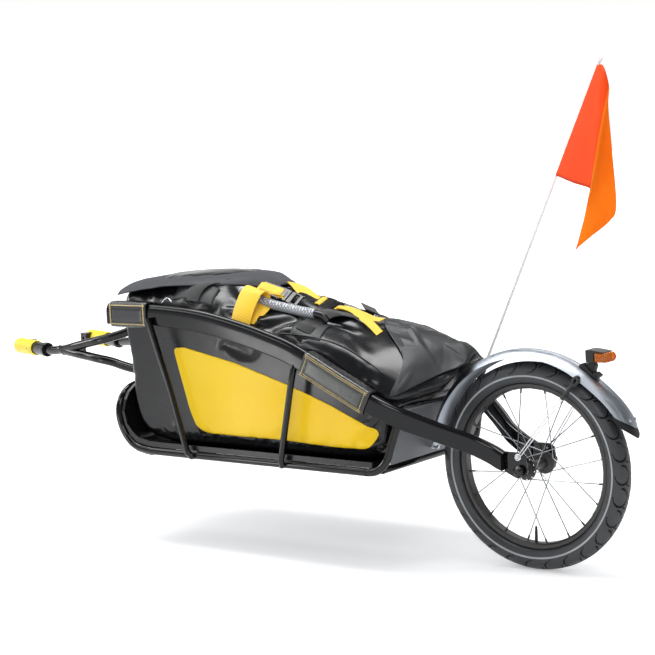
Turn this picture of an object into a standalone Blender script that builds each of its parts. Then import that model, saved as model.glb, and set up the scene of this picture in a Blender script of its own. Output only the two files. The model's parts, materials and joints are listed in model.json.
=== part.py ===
"""Single-wheel bicycle trailer with its hitch yoke, cargo bag, fender, lamp and flag.

Metres, +Z up, +X forwards, +Y to the left. The origin is the middle of the bicycle's rear axle,
where the hitch sockets grip it. Most shapes are given from the trailer's wheel centre.
"""

import math

import bmesh
import bpy
from mathutils import Matrix, Vector

GAP = 0.0003  # clearance between neighbouring pieces

TYRE_R = 0.200
WHEEL_GROWTH = TYRE_R - 0.200  # beyond the wheel that the tables are drawn round: what is ahead of it moves along
PIVOT_X = 0.995 + WHEEL_GROWTH  # steering pivot ahead of the wheel centre
HITCH_REACH = 0.395  # pivot to bicycle axle
HITCH_Z = 0.171  # bicycle axle above the trailer's axle
YOKE_TURN = math.radians(-17)  # the yoke stands turned to the right
ARM_S = 0.095  # each yoke arm's end from the yoke's middle

RAIL_WIDTH, RAIL_CORNER = 0.022, 0.005
TYRE_TO_FENDER = 0.0245
FENDER_X, FENDER_R, FENDER_T = 0.005, TYRE_R + TYRE_TO_FENDER, 0.0016
FENDER_DEPTH = 0.0175  # from the fender's crown to its edge
FENDER_START = 4  # degrees above the axle, at the front
POLE_Y, POLE_LEAN = -0.150, -0.4674
SIDES = (("left", 1), ("right", -1))

# Top rail, wheel arm included: centre line and height of the section, from the dropout forwards.
RAIL = (
    (0.0345, 0.0580, 0.0165, 0.036), (0.060, 0.0600, 0.0295, 0.036), (0.094, 0.072, 0.0460, 0.036),
    (0.130, 0.098, 0.0640, 0.037), (0.170, 0.125, 0.0835, 0.038), (0.215, 0.150, 0.1055, 0.039),
    (0.260, 0.163, 0.1275, 0.040), (0.320, 0.165, 0.1570, 0.040), (0.437, 0.165, 0.2140, 0.042),
    (0.511, 0.165, 0.2380, 0.043), (0.590, 0.165, 0.2575, 0.044), (0.690, 0.165, 0.2755, 0.044),
    (0.810, 0.165, 0.2830, 0.044), (0.930, 0.165, 0.2830, 0.044),
)
# Base loop: left upright, base rail, and the front bow up to its middle.
LOOP = (
    (0.2115, 0.1475, 0.090), (0.233, 0.161, 0.012), (0.2385, 0.1645, 0.0015), (0.2455, 0.165, -0.0038),
    (0.256, 0.165, -0.0055), (0.800, 0.165, -0.0055), (0.838, 0.165, -0.0045), (0.873, 0.165, 0.0015),
    (0.895, 0.165, 0.0165), (0.912, 0.165, 0.042), (0.9205, 0.163, 0.072), (0.9215, 0.152, 0.100),
    (0.920, 0.128, 0.119), (0.918, 0.090, 0.126), (0.918, 0.030, 0.127),
)
# Hoops welded to the outside of the base rails; they cross below the tray.
HOOPS = {
    "hoop_front": ((0.806, 0.1835, 0.279), (0.755, 0.182, 0.130), (0.722, 0.1800, 0.0120), (0.717, 0.1785, 0.0010),
                   (0.713, 0.1735, -0.0052), (0.711, 0.1650, -0.0066)),
    "hoop_middle": ((0.4345, 0.168, 0.202), (0.440, 0.176, 0.168), (0.4715, 0.1800, 0.0120),
                    (0.4735, 0.1785, 0.0010), (0.4750, 0.1735, -0.0052), (0.4760, 0.1650, -0.0066)),
}
# Bag body: x, underside, height at the middle and at 0.41, 0.68 and 0.88 of the half width, shoulder,
# half width, forward lean of the section. The load makes a ridge along the middle.
BAG = (
    (0.9050, 0.060, 0.3380, 0.3340, 0.326, 0.312, 0.290, 0.1370, 0.12),
    (0.8985, 0.038, 0.3450, 0.3410, 0.334, 0.323, 0.300, 0.1445, 0.12),
    (0.8850, 0.018, 0.3500, 0.3470, 0.341, 0.331, 0.308, 0.1475, 0.10),
    (0.8000, 0.0068, 0.3570, 0.3545, 0.349, 0.338, 0.312, 0.1475, 0),
    (0.7500, 0.0068, 0.3595, 0.3565, 0.348, 0.332, 0.305, 0.1475, 0),
    (0.7000, 0.0068, 0.3600, 0.3540, 0.340, 0.322, 0.298, 0.1475, 0),
    (0.6500, 0.0068, 0.3590, 0.3420, 0.322, 0.304, 0.285, 0.1475, 0),
    (0.6180, 0.0068, 0.3545, 0.3300, 0.308, 0.294, 0.275, 0.1475, 0),
    (0.5940, 0.0068, 0.3435, 0.3205, 0.301, 0.288, 0.268, 0.1475, 0),
    (0.5750, 0.0068, 0.3310, 0.3120, 0.296, 0.283, 0.262, 0.1475, 0),
    (0.5500, 0.0068, 0.3235, 0.3030, 0.287, 0.275, 0.254, 0.1475, 0),
    (0.5000, 0.0068, 0.3070, 0.2890, 0.275, 0.264, 0.240, 0.1475, 0),
    (0.4450, 0.0068, 0.2920, 0.2760, 0.262, 0.251, 0.226, 0.1475, 0),
    (0.3960, 0.0068, 0.2800, 0.2620, 0.248, 0.238, 0.214, 0.1475, 0),
    (0.3500, 0.0068, 0.2670, 0.2470, 0.234, 0.222, 0.198, 0.1475, 0),
    (0.3300, 0.0068, 0.2755, 0.2405, 0.224, 0.210, 0.186, 0.1470, 0),
    (0.3000, 0.0085, 0.2700, 0.2360, 0.214, 0.196, 0.172, 0.1460, 0),
    (0.2680, 0.0180, 0.2640, 0.2290, 0.203, 0.182, 0.160, 0.1450, 0),
    (0.2540, 0.0400, 0.2605, 0.2250, 0.197, 0.174, 0.153, 0.1440, 0),
    (0.2470, 0.0850, 0.2590, 0.2230, 0.194, 0.170, 0.150, 0.1430, 0),
    (0.2440, 0.1195, 0.2580, 0.2210, 0.192, 0.168, 0.149, 0.1425, 0),
    (0.2250, 0.1265, 0.2532, 0.2140, 0.184, 0.160, 0.147, 0.1400, 0),
    (0.2150, 0.1310, 0.2508, 0.2105, 0.180, 0.158, 0.147, 0.1280, 0),
    (0.2000, 0.1370, 0.2465, 0.2065, 0.176, 0.157, 0.148, 0.1130, 0),
    (0.1800, 0.1450, 0.2405, 0.2010, 0.176, 0.162, 0.154, 0.0830, 0),
    (0.1600, 0.1570, 0.2340, 0.1985, 0.179, 0.170, 0.165, 0.0660, 0),
    (0.1380, 0.1780, 0.2230, 0.2060, 0.196, 0.190, 0.186, 0.0500, 0),
    (0.1290, 0.1900, 0.2060, 0.2040, 0.201, 0.198, 0.195, 0.0400, 0),
)
# Grey front flap: x, top, and its lower edge's distance from the middle and height.
FLAP = (
    (0.9180, 0.3490, 0.1530, 0.3225), (0.9050, 0.3515, 0.1535, 0.3255), (0.8850, 0.3545, 0.1530, 0.3300),
    (0.8500, 0.3575, 0.1520, 0.3360), (0.8000, 0.3600, 0.1500, 0.3430), (0.7500, 0.3625, 0.1320, 0.3445),
    (0.7000, 0.3632, 0.1080, 0.3435), (0.6580, 0.3635, 0.0820, 0.3430), (0.6300, 0.3620, 0.0640, 0.3400),
    (0.6120, 0.3580, 0.0520, 0.3360), (0.5940, 0.3480, 0.0470, 0.3300), (0.5790, 0.3365, 0.0450, 0.3255),
)


def empty(name, location, turn=0.0, parent=None):
    obj = bpy.data.objects.new(name, None)
    obj.location = location
    obj.rotation_euler.z = turn
    obj.parent = parent
    bpy.context.scene.collection.objects.link(obj)
    return obj


def add(name, shape, parent, helper=False):
    """An object from (points, faces), with its faces turned outwards."""
    mesh = bpy.data.meshes.new(name)
    mesh.from_pydata([tuple(p) for p in shape[0]], [], shape[1])
    obj = bpy.data.objects.new(name, mesh)
    obj.parent = parent
    bpy.context.scene.collection.objects.link(obj)
    turn_outwards(mesh)
    mesh.shade_smooth()
    mesh.set_sharp_from_angle(angle=math.radians(35))
    if helper:
        obj.hide_render = True
        obj.display_type = "WIRE"
    return obj


def turn_outwards(mesh):
    work = bmesh.new()
    work.from_mesh(mesh)
    bmesh.ops.recalc_face_normals(work, faces=work.faces)
    work.to_mesh(mesh)
    work.free()


def boolean(obj, operation, others):
    for other in others:
        modifier = obj.modifiers.new(f"{operation} {other.name}", "BOOLEAN")
        modifier.operation = operation
        modifier.object = other
        modifier.solver = "EXACT"


def bevel(obj, width, segments=2):
    modifier = obj.modifiers.new("rounded edges", "BEVEL")
    modifier.width = width
    modifier.segments = segments


def loft(rings, closed=False):
    """The skin over rings of one length: capped at both ends, or joined last to first."""
    count = len(rings[0])
    points = [p for ring in rings for p in ring]
    faces = []
    for i in range(len(rings) if closed else len(rings) - 1):
        a, b = i * count, (i + 1) % len(rings) * count
        for k in range(count):
            m = (k + 1) % count
            faces.append((a + k, a + m, b + m, b + k))
    if not closed:
        faces += [tuple(range(count)), tuple(range(len(points) - count, len(points)))]
    return points, faces


def several(shapes):
    """Shapes that don't meet, as one mesh."""
    points, faces = [], []
    for more_points, more_faces in shapes:
        start = len(points)
        points += more_points
        faces += [tuple(start + i for i in face) for face in more_faces]
    return points, faces


def sleeve(outer, inner):
    """An open-ended wall between two rows of rings."""
    return loft(outer + inner[::-1], closed=True)


def circle(radius, sides, start=0.0):
    return [
        (radius * math.cos(start + 2 * math.pi * k / sides), radius * math.sin(start + 2 * math.pi * k / sides))
        for k in range(sides)
    ]


def aim(origin, direction):
    """A matrix that puts local Z on the direction, at the origin."""
    turn = Vector(direction).to_track_quat("Z", "Y").to_matrix().to_4x4()
    return Matrix.Translation(Vector(origin)) @ turn


def spindle(origin, direction, profile, sides=16):
    """A solid turned shape: (distance along the axis, radius) from one end to the other."""
    place = aim(origin, direction)
    return loft([[place @ Vector((x, y, a)) for x, y in circle(r, sides)] for a, r in profile])


def ring(origin, direction, profile, sides=16):
    """A hollow turned shape: (distance along the axis, radius) round the wall's section."""
    place = aim(origin, direction)
    rings = []
    for c, s in circle(1.0, sides):
        rings.append([place @ Vector((r * c, r * s, a)) for a, r in profile])
    return loft(rings, closed=True)


def rod(start, end, radius, sides=10):
    start, end = Vector(start), Vector(end)
    return spindle(start, end - start, ((0, radius), ((end - start).length, radius)), sides)


def tube(path, radius, sides=10):
    """A round bar along a path."""
    path = [Vector(p) for p in path]
    steps = [(b - a).normalized() for a, b in zip(path, path[1:])]
    tangents = [steps[0]] + [(a + b).normalized() for a, b in zip(steps, steps[1:])] + [steps[-1]]
    side = tangents[0].orthogonal().normalized()
    rings = []
    for i, (point, tangent) in enumerate(zip(path, tangents)):
        if i:
            side = tangents[i - 1].rotation_difference(tangent) @ side
        up = tangent.cross(side)
        rings.append([point + side * x + up * y for x, y in circle(radius, sides, math.pi / sides)])
    return loft(rings)


def band(path, across, width, thick):
    """A flat strap along a path, its width along one fixed direction."""
    path, across = [Vector(p) for p in path], Vector(across).normalized()
    rings = []
    for i, point in enumerate(path):
        tangent = (path[min(i + 1, len(path) - 1)] - path[max(i - 1, 0)]).normalized()
        out = tangent.cross(across).normalized()
        half, rise = across * width / 2, out * thick / 2
        rings.append([point - half - rise, point + half - rise, point + half + rise, point - half + rise])
    return loft(rings)


def box(low, high):
    (x0, y0, z0), (x1, y1, z1) = low, high
    corners = ((x0, y0), (x1, y0), (x1, y1), (x0, y1))
    return loft([[Vector((x, y, z)) for x, y in corners] for z in (z0, z1)])


def plate(outline, y0, y1):
    """An outline in X and Z, thick along Y."""
    return loft([[Vector((x, y, z)) for x, z in outline] for y in (y0, y1)])


def mirrored(path):
    """The path and, after it, its mirror image back to the right side."""
    return list(path) + [(x, -y, z) for x, y, z in reversed(path)]


def flipped(path, side):
    return [(p[0], side * p[1], p[2]) for p in path]


def rail_rings(side, grow=0.0, start=None, end=None):
    """The rail's sections, each grown outwards, from x = start to x = end."""
    centres = [
        Vector((x + WHEEL_GROWTH * min((x - RAIL[0][0]) / 0.165, 1), side * y, z)) for x, y, z, _ in RAIL
    ]
    rings = []
    for i, centre in enumerate(centres):
        tangent = (centres[min(i + 1, len(centres) - 1)] - centres[max(i - 1, 0)]).normalized()
        across = Vector((-tangent.y, tangent.x, 0)).normalized()
        up = tangent.cross(across)
        if i == 0:
            up = Vector((0, 0, 1))
            across = Vector((0, 1, 0))
        half_w, half_h = RAIL_WIDTH / 2 + grow, RAIL[i][3] / 2 + grow
        corner = RAIL_CORNER + grow
        section = []
        for quarter, (sx, sy) in enumerate(((1, 1), (-1, 1), (-1, -1), (1, -1))):
            for k in range(3):
                angle = math.radians(90 * quarter + 45 * k)
                section.append((
                    sx * (half_w - corner) + corner * math.cos(angle),
                    sy * (half_h - corner) + corner * math.sin(angle),
                ))
        rings.append((centre.x, [centre + across * a + up * b for a, b in section]))
    if start is not None:
        rings = (
            [ring_between(rings, start + WHEEL_GROWTH)]
            + [r for r in rings if start + 0.004 < r[0] - WHEEL_GROWTH < end - 0.004]
            + [ring_between(rings, end + WHEEL_GROWTH)]
        )
    return [points for _, points in rings]


def ring_between(rings, x):
    for (xa, a), (xb, b) in zip(rings, rings[1:]):
        if xa <= x <= xb:
            t = (x - xa) / (xb - xa)
            return x, [p.lerp(q, t) for p, q in zip(a, b)]
    raise ValueError(x)


def bag_ring(x, low, z0, z6, z10, z13, side, half, lean):
    """One cross-section of the bag: a rounded bottom, upright sides and a ridge."""
    rise = min(0.05, 0.4 * (side - low))
    right = [
        (half - 0.3 * rise - 0.02, low), (half - 0.25 * rise, low + 0.12 * rise), (half - 0.02 * rise, low + 0.5 * rise),
        (half, low + rise), (half, side - 0.3 * (side - low - rise)), (half * 0.985, side), (half * 0.88, z13),
        (half * 0.68, z10), (half * 0.41, z6),
    ]
    section = right + [(0, z0)] + [(-y, z) for y, z in reversed(right)]
    return [Vector((x + lean * (z - 0.26), y, z)) for y, z in section]


def flap_ring(x, top, reach, edge):
    rise = top - edge
    outer = [(reach * a, edge + rise * b) for a, b in ((1, 0), (0.93, 0.35), (0.75, 0.72), (0.4, 0.95), (0, 1))]
    inner = [(y - 0.0018 * (y > 0.02), z - 0.0022) for y, z in outer]
    section = outer + [(-y, z) for y, z in reversed(outer[:-1])]
    section += [(-y, z) for y, z in inner[:-1]] + list(reversed(inner))
    return [Vector((x, y, z)) for y, z in section]


def near_fender(angle, inwards, y):
    """A point at this angle round the wheel, this far inwards from the fender's crown."""
    reach = FENDER_R - inwards
    return (reach * math.cos(math.radians(angle)), y, reach * math.sin(math.radians(angle)))


def bowed(depth, crown, half, inward=0.0):
    """Half of a bowed sheet's section as (y, radius), moved inwards by the given distance."""
    edge = crown - depth
    return [
        (half - 0.3 * inward, edge), (0.883 * half - 0.7 * inward, edge + 0.486 * depth - 0.6 * inward),
        (0.567 * half, edge + 0.829 * depth - inward), (0, crown - inward),
    ]


def fender_ring(angle, outer, inner, shift=0.0):
    """A bowed sheet's section in the plane at this angle; shift moves it away from the wheel."""
    section = outer + [(-y, r) for y, r in reversed(outer[:-1])]
    section += [(-y, r) for y, r in inner[:-1]] + list(reversed(inner))
    c, s = math.cos(math.radians(angle)), math.sin(math.radians(angle))
    return [Vector((FENDER_X + (r + shift) * c, y, (r + shift) * s)) for y, r in section]


def curved(corners, steps):
    """A Catmull-Rom curve through the corners."""
    ends = [corners[0] * 2 - corners[1], *corners, corners[-1] * 2 - corners[-2]]
    path = []
    for a, b, c, d in zip(ends, ends[1:], ends[2:], ends[3:]):
        for k in range(steps):
            t = k / steps
            path.append((b * 2 + (c - a) * t + (a * 2 - b * 5 + c * 4 - d) * t ** 2
                         + (b * 3 - a - c * 3 + d) * t ** 3) / 2)
    return path + [corners[-1]]


def half_walls(cloth, half):
    """Each point of a cloth grid with its way out to one face, square to the cloth there."""
    rows, columns = len(cloth), len(cloth[0])
    walls = []
    for i, row in enumerate(cloth):
        wall = []
        for k, point in enumerate(row):
            down = (row[min(k + 1, columns - 1)] - row[max(k - 1, 0)]).normalized()
            ways = [(cloth[j + 1][k] - cloth[j][k]).cross(down).normalized() for j in (i - 1, i) if 0 <= j < rows - 1]
            out = sum(ways, Vector()).normalized()
            wall.append((point, out * half / max(out.dot(ways[0]), 0.5)))
        walls.append(wall)
    return walls


def pole_point(z, y=POLE_Y):
    return Vector((0.1854 + POLE_LEAN * (z - 0.1903), y, z))


for obj in list(bpy.data.objects):
    bpy.data.objects.remove(obj)

reach_x, reach_y = HITCH_REACH * math.cos(YOKE_TURN), HITCH_REACH * math.sin(YOKE_TURN)
trailer = empty("trailer_frame", (-PIVOT_X - reach_x, -reach_y, -HITCH_Z))
cargo = empty("cargo_frame", (WHEEL_GROWTH, 0, 0), 0, trailer)  # all that stands ahead of the wheel
yoke = empty("yoke_turn", (PIVOT_X, 0, 0), YOKE_TURN, trailer)
HEAD_X = PIVOT_X - WHEEL_GROWTH

# Hitch yoke: X runs from the pivot to the bicycle's axle.
UPPER_ARM = ((0.2695, 0.095, 0.171), (0.245, 0.0945, 0.172), (0.15, 0.088, 0.197), (0.075, 0.072, 0.217),
             (0.048, 0.053, 0.228), (0.025, 0.028, 0.2388), (0.003, 0.0035, 0.2397))
LOWER_ARM = ((0.215, 0.0925, 0.1765), (0.15, 0.088, 0.171), (0.075, 0.072, 0.161), (0.048, 0.053, 0.150),
             (0.025, 0.028, 0.1365), (0.003, 0.0035, 0.1355))
yoke_frame = add("yoke_frame", tube(flipped(UPPER_ARM, 1), 0.009), yoke)
boolean(yoke_frame, "UNION", [
    add("helper_arm_lower_left", tube(flipped(LOWER_ARM, 1), 0.009), yoke, True),
    add("helper_lug_upper", spindle((0, 0, 0.230), (0, 0, 1), ((0, 0.020), (0.0187, 0.020)), 20), yoke, True),
    add("helper_lug_lower", spindle((0, 0, 0.1264), (0, 0, 1), ((0, 0.020), (0.0187, 0.020)), 20), yoke, True),
    add("helper_arm_upper_right", tube(flipped(UPPER_ARM, -1), 0.009), yoke, True),
    add("helper_arm_lower_right", tube(flipped(LOWER_ARM, -1), 0.009), yoke, True),
])
boolean(yoke_frame, "DIFFERENCE", [
    add("helper_pin_bore", rod((0, 0, 0.10), (0, 0, 0.27), 0.006 + GAP, 16), yoke, True),
])

for name, side in SIDES:
    start = (0.270, side * ARM_S, HITCH_Z)
    socket = add(f"hitch_socket_{name}", spindle(start, (1, 0, 0), (
        (0, 0.0150), (0.0015, 0.0165), (0.0125, 0.0165), (0.014, 0.0148), (0.063, 0.0148), (0.063, 0.0105),
        (0.0945, 0.0105), (0.0945, 0.0148), (0.1385, 0.0148), (0.140, 0.0135),
    )), yoke)
    inner, outer = side * 0.065, side * 0.083
    low_s, high_s = min(inner, outer), max(inner, outer)
    boolean(socket, "UNION", [
        add(f"helper_jaw_{name}", box((0.382, low_s, HITCH_Z - 0.013), (0.408, high_s, HITCH_Z + 0.013)), yoke, True),
    ])
    slot_end = side * 0.0798
    boolean(socket, "DIFFERENCE", [
        add(f"helper_jaw_slot_{name}", plate(
            [(HITCH_REACH - 0.0048, HITCH_Z - 0.02), (HITCH_REACH + 0.0048, HITCH_Z - 0.02)]
            + [(HITCH_REACH + 0.0048 * math.cos(a), HITCH_Z + 0.0048 * math.sin(a))
               for a in (math.pi * k / 8 for k in range(9))],
            side * 0.060, slot_end), yoke, True),
    ])

    # The sleeve slides back 16 mm; its pin runs in the socket's groove against the spring.
    lock = add(f"lock_sleeve_{name}", ring((0.325, side * ARM_S, HITCH_Z), (1, 0, 0), (
        (0, 0.0166), (0.0016, 0.0180), (0.0834, 0.0180), (0.085, 0.0166), (0.085, 0.0153), (0, 0.0153),
    ), 20), yoke)
    low_s, high_s = sorted((side * 0.060, side * 0.092))
    boolean(lock, "DIFFERENCE", [
        add(f"helper_sleeve_slot_{name}", box((0.3815, low_s, HITCH_Z - 0.0136), (0.42, high_s, HITCH_Z + 0.0136)),
            yoke, True),
    ])
    low_s, high_s = sorted((side * 0.067, side * 0.0870))
    boolean(lock, "UNION", [
        add(f"helper_tongue_{name}", box((0.387, low_s, 0.1543), (0.403, high_s, 0.1574)), yoke, True),
        add(f"helper_pin_{name}", rod((0.362, side * (ARM_S + 0.011), HITCH_Z),
                                      (0.362, side * (ARM_S + 0.0172), HITCH_Z), 0.002, 8), yoke, True),
    ])
    add(f"lock_spring_{name}", ring((0.3335, side * ARM_S, HITCH_Z), (1, 0, 0), (
        (0, 0.0145), (0.0095, 0.0145), (0.0095, 0.0110), (0, 0.0110),
    ), 12), yoke)

add("king_pin", spindle((0, 0, 0.1125), (0, 0, 1), (
    (0, 0.0052), (0.001, 0.006), (0.1366, 0.006), (0.1366, 0.011), (0.1415, 0.011), (0.1440, 0.008),
), 16), yoke)
add("king_pin_nut", ring((0, 0, 0.1158), (0, 0, 1), (
    (0, 0.0095), (0.0012, 0.0107), (0.010, 0.0107), (0.010, 0.0073), (0, 0.0073),
), 6), yoke)

# Trailer frame.
rails = {}
for name, side in SIDES:
    rails[name] = add(f"top_rail_{name}", loft(rail_rings(side)), trailer)
grown_rails = [
    add(f"helper_rail_{name}", loft(rail_rings(side, GAP)), trailer, True) for name, side in SIDES
]

base_loop = add("base_loop", tube(mirrored(LOOP), 0.008), cargo)
boolean(base_loop, "UNION", [
    add(f"helper_{name}", tube(mirrored(path), 0.0065), cargo, True) for name, path in HOOPS.items()
])
boolean(base_loop, "DIFFERENCE", grown_rails)
grown_loop = add("helper_loop", tube(mirrored(LOOP), 0.008 + GAP), cargo, True)

add("front_bar", rod((0.924, -0.1535, 0.283), (0.924, 0.1535, 0.283), 0.011, 16), cargo)
grown_bar = add("helper_bar", rod((0.924, -0.2, 0.283), (0.924, 0.2, 0.283), 0.011 + GAP, 16), cargo, True)

neck = add("head_tube", plate(
    ((0.982, 0.154), (0.982, 0.218), (0.965, 0.222), (0.938, 0.286), (0.921, 0.283), (0.914, 0.127),
     (0.945, 0.122)), -0.012, 0.012), cargo)
boolean(neck, "UNION", [
    add("helper_head", spindle((HEAD_X, 0, 0.150), (0, 0, 1), (
        (0, 0.017), (0.001, 0.018), (0.074, 0.018), (0.075, 0.017)), 20), cargo, True),
])
boolean(neck, "DIFFERENCE", [
    add("helper_head_bore", rod((HEAD_X, 0, 0.14), (HEAD_X, 0, 0.24), 0.013, 20), cargo, True),
    grown_bar, grown_loop,
])
for name, z, way in (("upper", 0.2254, 1), ("lower", 0.1496, -1)):
    add(f"pivot_bush_{name}", ring((HEAD_X, 0, z), (0, 0, way), (
        (0.0042, 0.0160), (0, 0.0160), (0, 0.0127), (-0.020, 0.0127), (-0.020, 0.006 + GAP),
        (0.0042, 0.006 + GAP),
    ), 16), cargo)

add("rear_cross_tube", rod((0.246, -0.1564, -0.002), (0.246, 0.1564, -0.002), 0.007, 12), cargo)

BOLT_Z = FENDER_R * math.sin(math.radians(FENDER_START)) + 0.0033
bolt_hole = add("helper_fender_bolt", rod((0.20, 0, BOLT_Z), (0.26, 0, BOLT_Z), 0.0028, 10), cargo, True)
FLANGE_LOW, FLANGE_TOP = 0.1125, 0.1150
flange_x = FENDER_X + math.sqrt((FENDER_R + 0.0015) ** 2 - FLANGE_LOW ** 2) - WHEEL_GROWTH
panel = add("rear_panel", plate(
    ((0.2385, 0.0060), (0.2415, 0.0060), (0.2240, FLANGE_TOP), (flange_x, FLANGE_TOP), (flange_x, FLANGE_LOW),
     (0.2212, FLANGE_LOW)), -0.135, 0.135), cargo)
boolean(panel, "DIFFERENCE", [bolt_hole] + grown_rails)

TRAY_PATH = ((0.262, 0.0045, 0.1665), (0.800, 0.0045, 0.1665), (0.837, 0.0056, 0.1665), (0.8692, 0.0112, 0.1665),
             (0.8876, 0.0236, 0.1665), (0.9027, 0.0464, 0.1665), (0.9102, 0.0738, 0.1655),
             (0.9090, 0.0990, 0.158), (0.9075, 0.1150, 0.148), (0.9055, 0.1290, 0.128))
rings = []
for i, (x, z, half) in enumerate(TRAY_PATH):
    before, after = TRAY_PATH[max(i - 1, 0)], TRAY_PATH[min(i + 1, len(TRAY_PATH) - 1)]
    along = Vector((after[0] - before[0], 0, after[1] - before[1])).normalized()
    inward = Vector((-along.z, 0, along.x))
    lip = 0.010 if x < 0.895 else 0.006
    section = ((half, lip), (half, -0.0015), (-half, -0.0015), (-half, lip), (-half + 0.0025, lip),
               (-half + 0.0025, 0.0015), (half - 0.0025, 0.0015), (half - 0.0025, lip))
    rings.append([Vector((x, y, z)) + inward * rise for y, rise in section])
add("tray", loft(rings), cargo)

SKID_PATH = ((0.8335, -0.0147), (0.8545, -0.0122), (0.8765, -0.0080), (0.8900, 0.0003), (0.9028, 0.0090),
             (0.9126, 0.0229), (0.9217, 0.0375))
add("skid_strip", band([(x, 0, z) for x, z in SKID_PATH], (0, 1, 0), 0.325, 0.003), cargo)

for name, side in SIDES:
    front = add(f"wrap_front_{name}", sleeve(
        rail_rings(side, 0.0048, 0.815, 0.918), rail_rings(side, 0.0010, 0.815, 0.918)), trailer)
    boolean(front, "DIFFERENCE", [grown_bar])
    add(f"wrap_rear_{name}", sleeve(
        rail_rings(side, 0.0048, 0.264, 0.412), rail_rings(side, 0.0010, 0.264, 0.412)), trailer)

    # The slot holds the wheel's axle; the stay bolts on above it.
    dropout = add(f"dropout_{name}", plate(
        ((0.034, 0.034), (0, 0.034), (-0.012, 0.028), (-0.016, 0), (-0.012, -0.013), (0, -0.017), (0.012, -0.014),
         (0.034, -0.004)), side * 0.0503, side * 0.0563), trailer)
    boolean(dropout, "DIFFERENCE", [
        add(f"helper_axle_slot_{name}", plate(
            [(-0.0051, -0.03), (0.0051, -0.03)]
            + [(0.0051 * math.cos(a), 0.0051 * math.sin(a)) for a in (math.pi * k / 8 for k in range(9))],
            side * 0.045, side * 0.062), trailer, True),
        add(f"helper_stay_hole_{name}", rod((0.003, side * 0.045, 0.0255), (0.003, side * 0.062, 0.0255), 0.0028),
            trailer, True),
    ])

# Fender, mudflap and stays.
sheet = bowed(FENDER_DEPTH, FENDER_R, 0.030), bowed(FENDER_DEPTH, FENDER_R, 0.030, FENDER_T)
fender = add("fender", loft([fender_ring(FENDER_START + 7 * k, *sheet) for k in range(23)]), trailer)
boolean(fender, "DIFFERENCE", [bolt_hole])
flap_r = FENDER_R - FENDER_T - 0.0013
sheet = bowed(0.0126, flap_r, 0.0262), bowed(0.0126, flap_r, 0.0262, 0.0020)
add("mudflap", loft([fender_ring(angle, *sheet, shift) for angle, shift in (
    (147.5, 0), (153, 0), (158, 0.0006), (160.5, 0.006), (163, 0.0160))]), trailer)
add("fender_bolt", spindle((0.2420, 0, BOLT_Z), (-1, 0, 0), (
    (0, 0.0025), (0.0212, 0.0025), (0.0212, 0.0045), (0.0232, 0.0045), (0.0240, 0.0035)), 10), cargo)

for name, side in SIDES:
    hole = (0.003, side * 0.0566, 0.0255)
    stay = add(f"stay_{name}", ring(hole, (0, side, 0), (
        (0, 0.0060), (0.0024, 0.0060), (0.0024, 0.0028), (0, 0.0028)), 12), trailer)
    clip = [near_fender(angle, inwards, side * y) for angle, inwards, y in (
        (120.7, 0.0611, 0.0372), (122.3, 0.0317, 0.0350), (123.0, 0.0105, 0.0348))]
    boolean(stay, "UNION", [
        add(f"helper_wire_a_{name}", tube(flipped((
            (-0.0010, 0.0580, 0.0296), (-0.0085, 0.0580, 0.0420), near_fender(120.55, 0.0573, 0.0375)), side),
            0.0012, 6),
            trailer, True),
        add(f"helper_wire_b_{name}", tube(flipped((
            (-0.0013, 0.0580, 0.0265), (-0.0120, 0.0580, 0.0385), near_fender(122.08, 0.0569, 0.0368)), side),
            0.0012, 6),
            trailer, True),
        add(f"helper_clip_{name}", tube(clip, 0.0037, 8), trailer, True),
    ])
    add(f"stay_bolt_{name}", spindle((0.003, side * 0.0506, 0.0255), (0, side, 0), (
        (0, 0.0025), (0.0087, 0.0025), (0.0087, 0.0045), (0.0110, 0.0045), (0.0120, 0.0034)), 10), trailer)

# Lamp on the fender's crown.
crown = Vector((math.cos(math.radians(124)), math.sin(math.radians(124))))
along = Vector((-crown.y, crown.x))
foot = Vector((FENDER_X, 0)) + crown * (FENDER_R + 0.0006)
LAMP = foot + Vector((-0.0091, 0.0244))  # tilt axis
base = [foot + along * a + crown * b for a, b in ((-0.013, 0), (0.013, 0), (0.013, 0.0028), (-0.013, 0.0028))]
bracket = add("light_bracket", plate([tuple(p) for p in base], -0.0238, 0.0238), trailer)
leg = [tuple(foot + along * a + crown * 0.0012) for a in (-0.009, 0.009)]
leg += [(LAMP[0] + 0.0052 * math.cos(a), LAMP[1] + 0.0052 * math.sin(a))
        for a in (math.radians(d) for d in (180, 135, 90, 45, 0))]
for name, side in SIDES:
    boolean(bracket, "UNION", [
        add(f"helper_leg_{name}", plate(leg, side * 0.0208, side * 0.0238), trailer, True),
        add(f"helper_stub_{name}", rod((LAMP[0], side * 0.0165, LAMP[1]), (LAMP[0], side * 0.0225, LAMP[1]), 0.002, 8),
            trailer, True),
    ])
housing = add("light_housing", plate([(LAMP.x + x, LAMP.y + z) for x, z in (
    (-0.0100, -0.0050), (0.0105, -0.0050), (0.0120, -0.0020), (0.0120, 0.0160), (0.0095, 0.0200), (-0.0120, 0.0200),
    (-0.0175, 0.0155), (-0.0175, 0.0132), (-0.0100, 0.0132))], -0.0200, 0.0200), trailer)
boolean(housing, "DIFFERENCE", [
    add("helper_lamp_bore_left", rod((LAMP[0], 0.0160, LAMP[1]), (LAMP[0], 0.03, LAMP[1]), 0.0023, 8), trailer, True),
    add("helper_lamp_bore_right", rod((LAMP[0], -0.03, LAMP[1]), (LAMP[0], -0.0160, LAMP[1]), 0.0023, 8), trailer,
        True),
])
lens = add("light_lens", box((LAMP.x - 0.0390, -0.0212, LAMP.y - 0.0050),
                             (LAMP.x - 0.0103, 0.0212, LAMP.y + 0.0128)), trailer)
bevel(lens, 0.004, 3)

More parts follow.
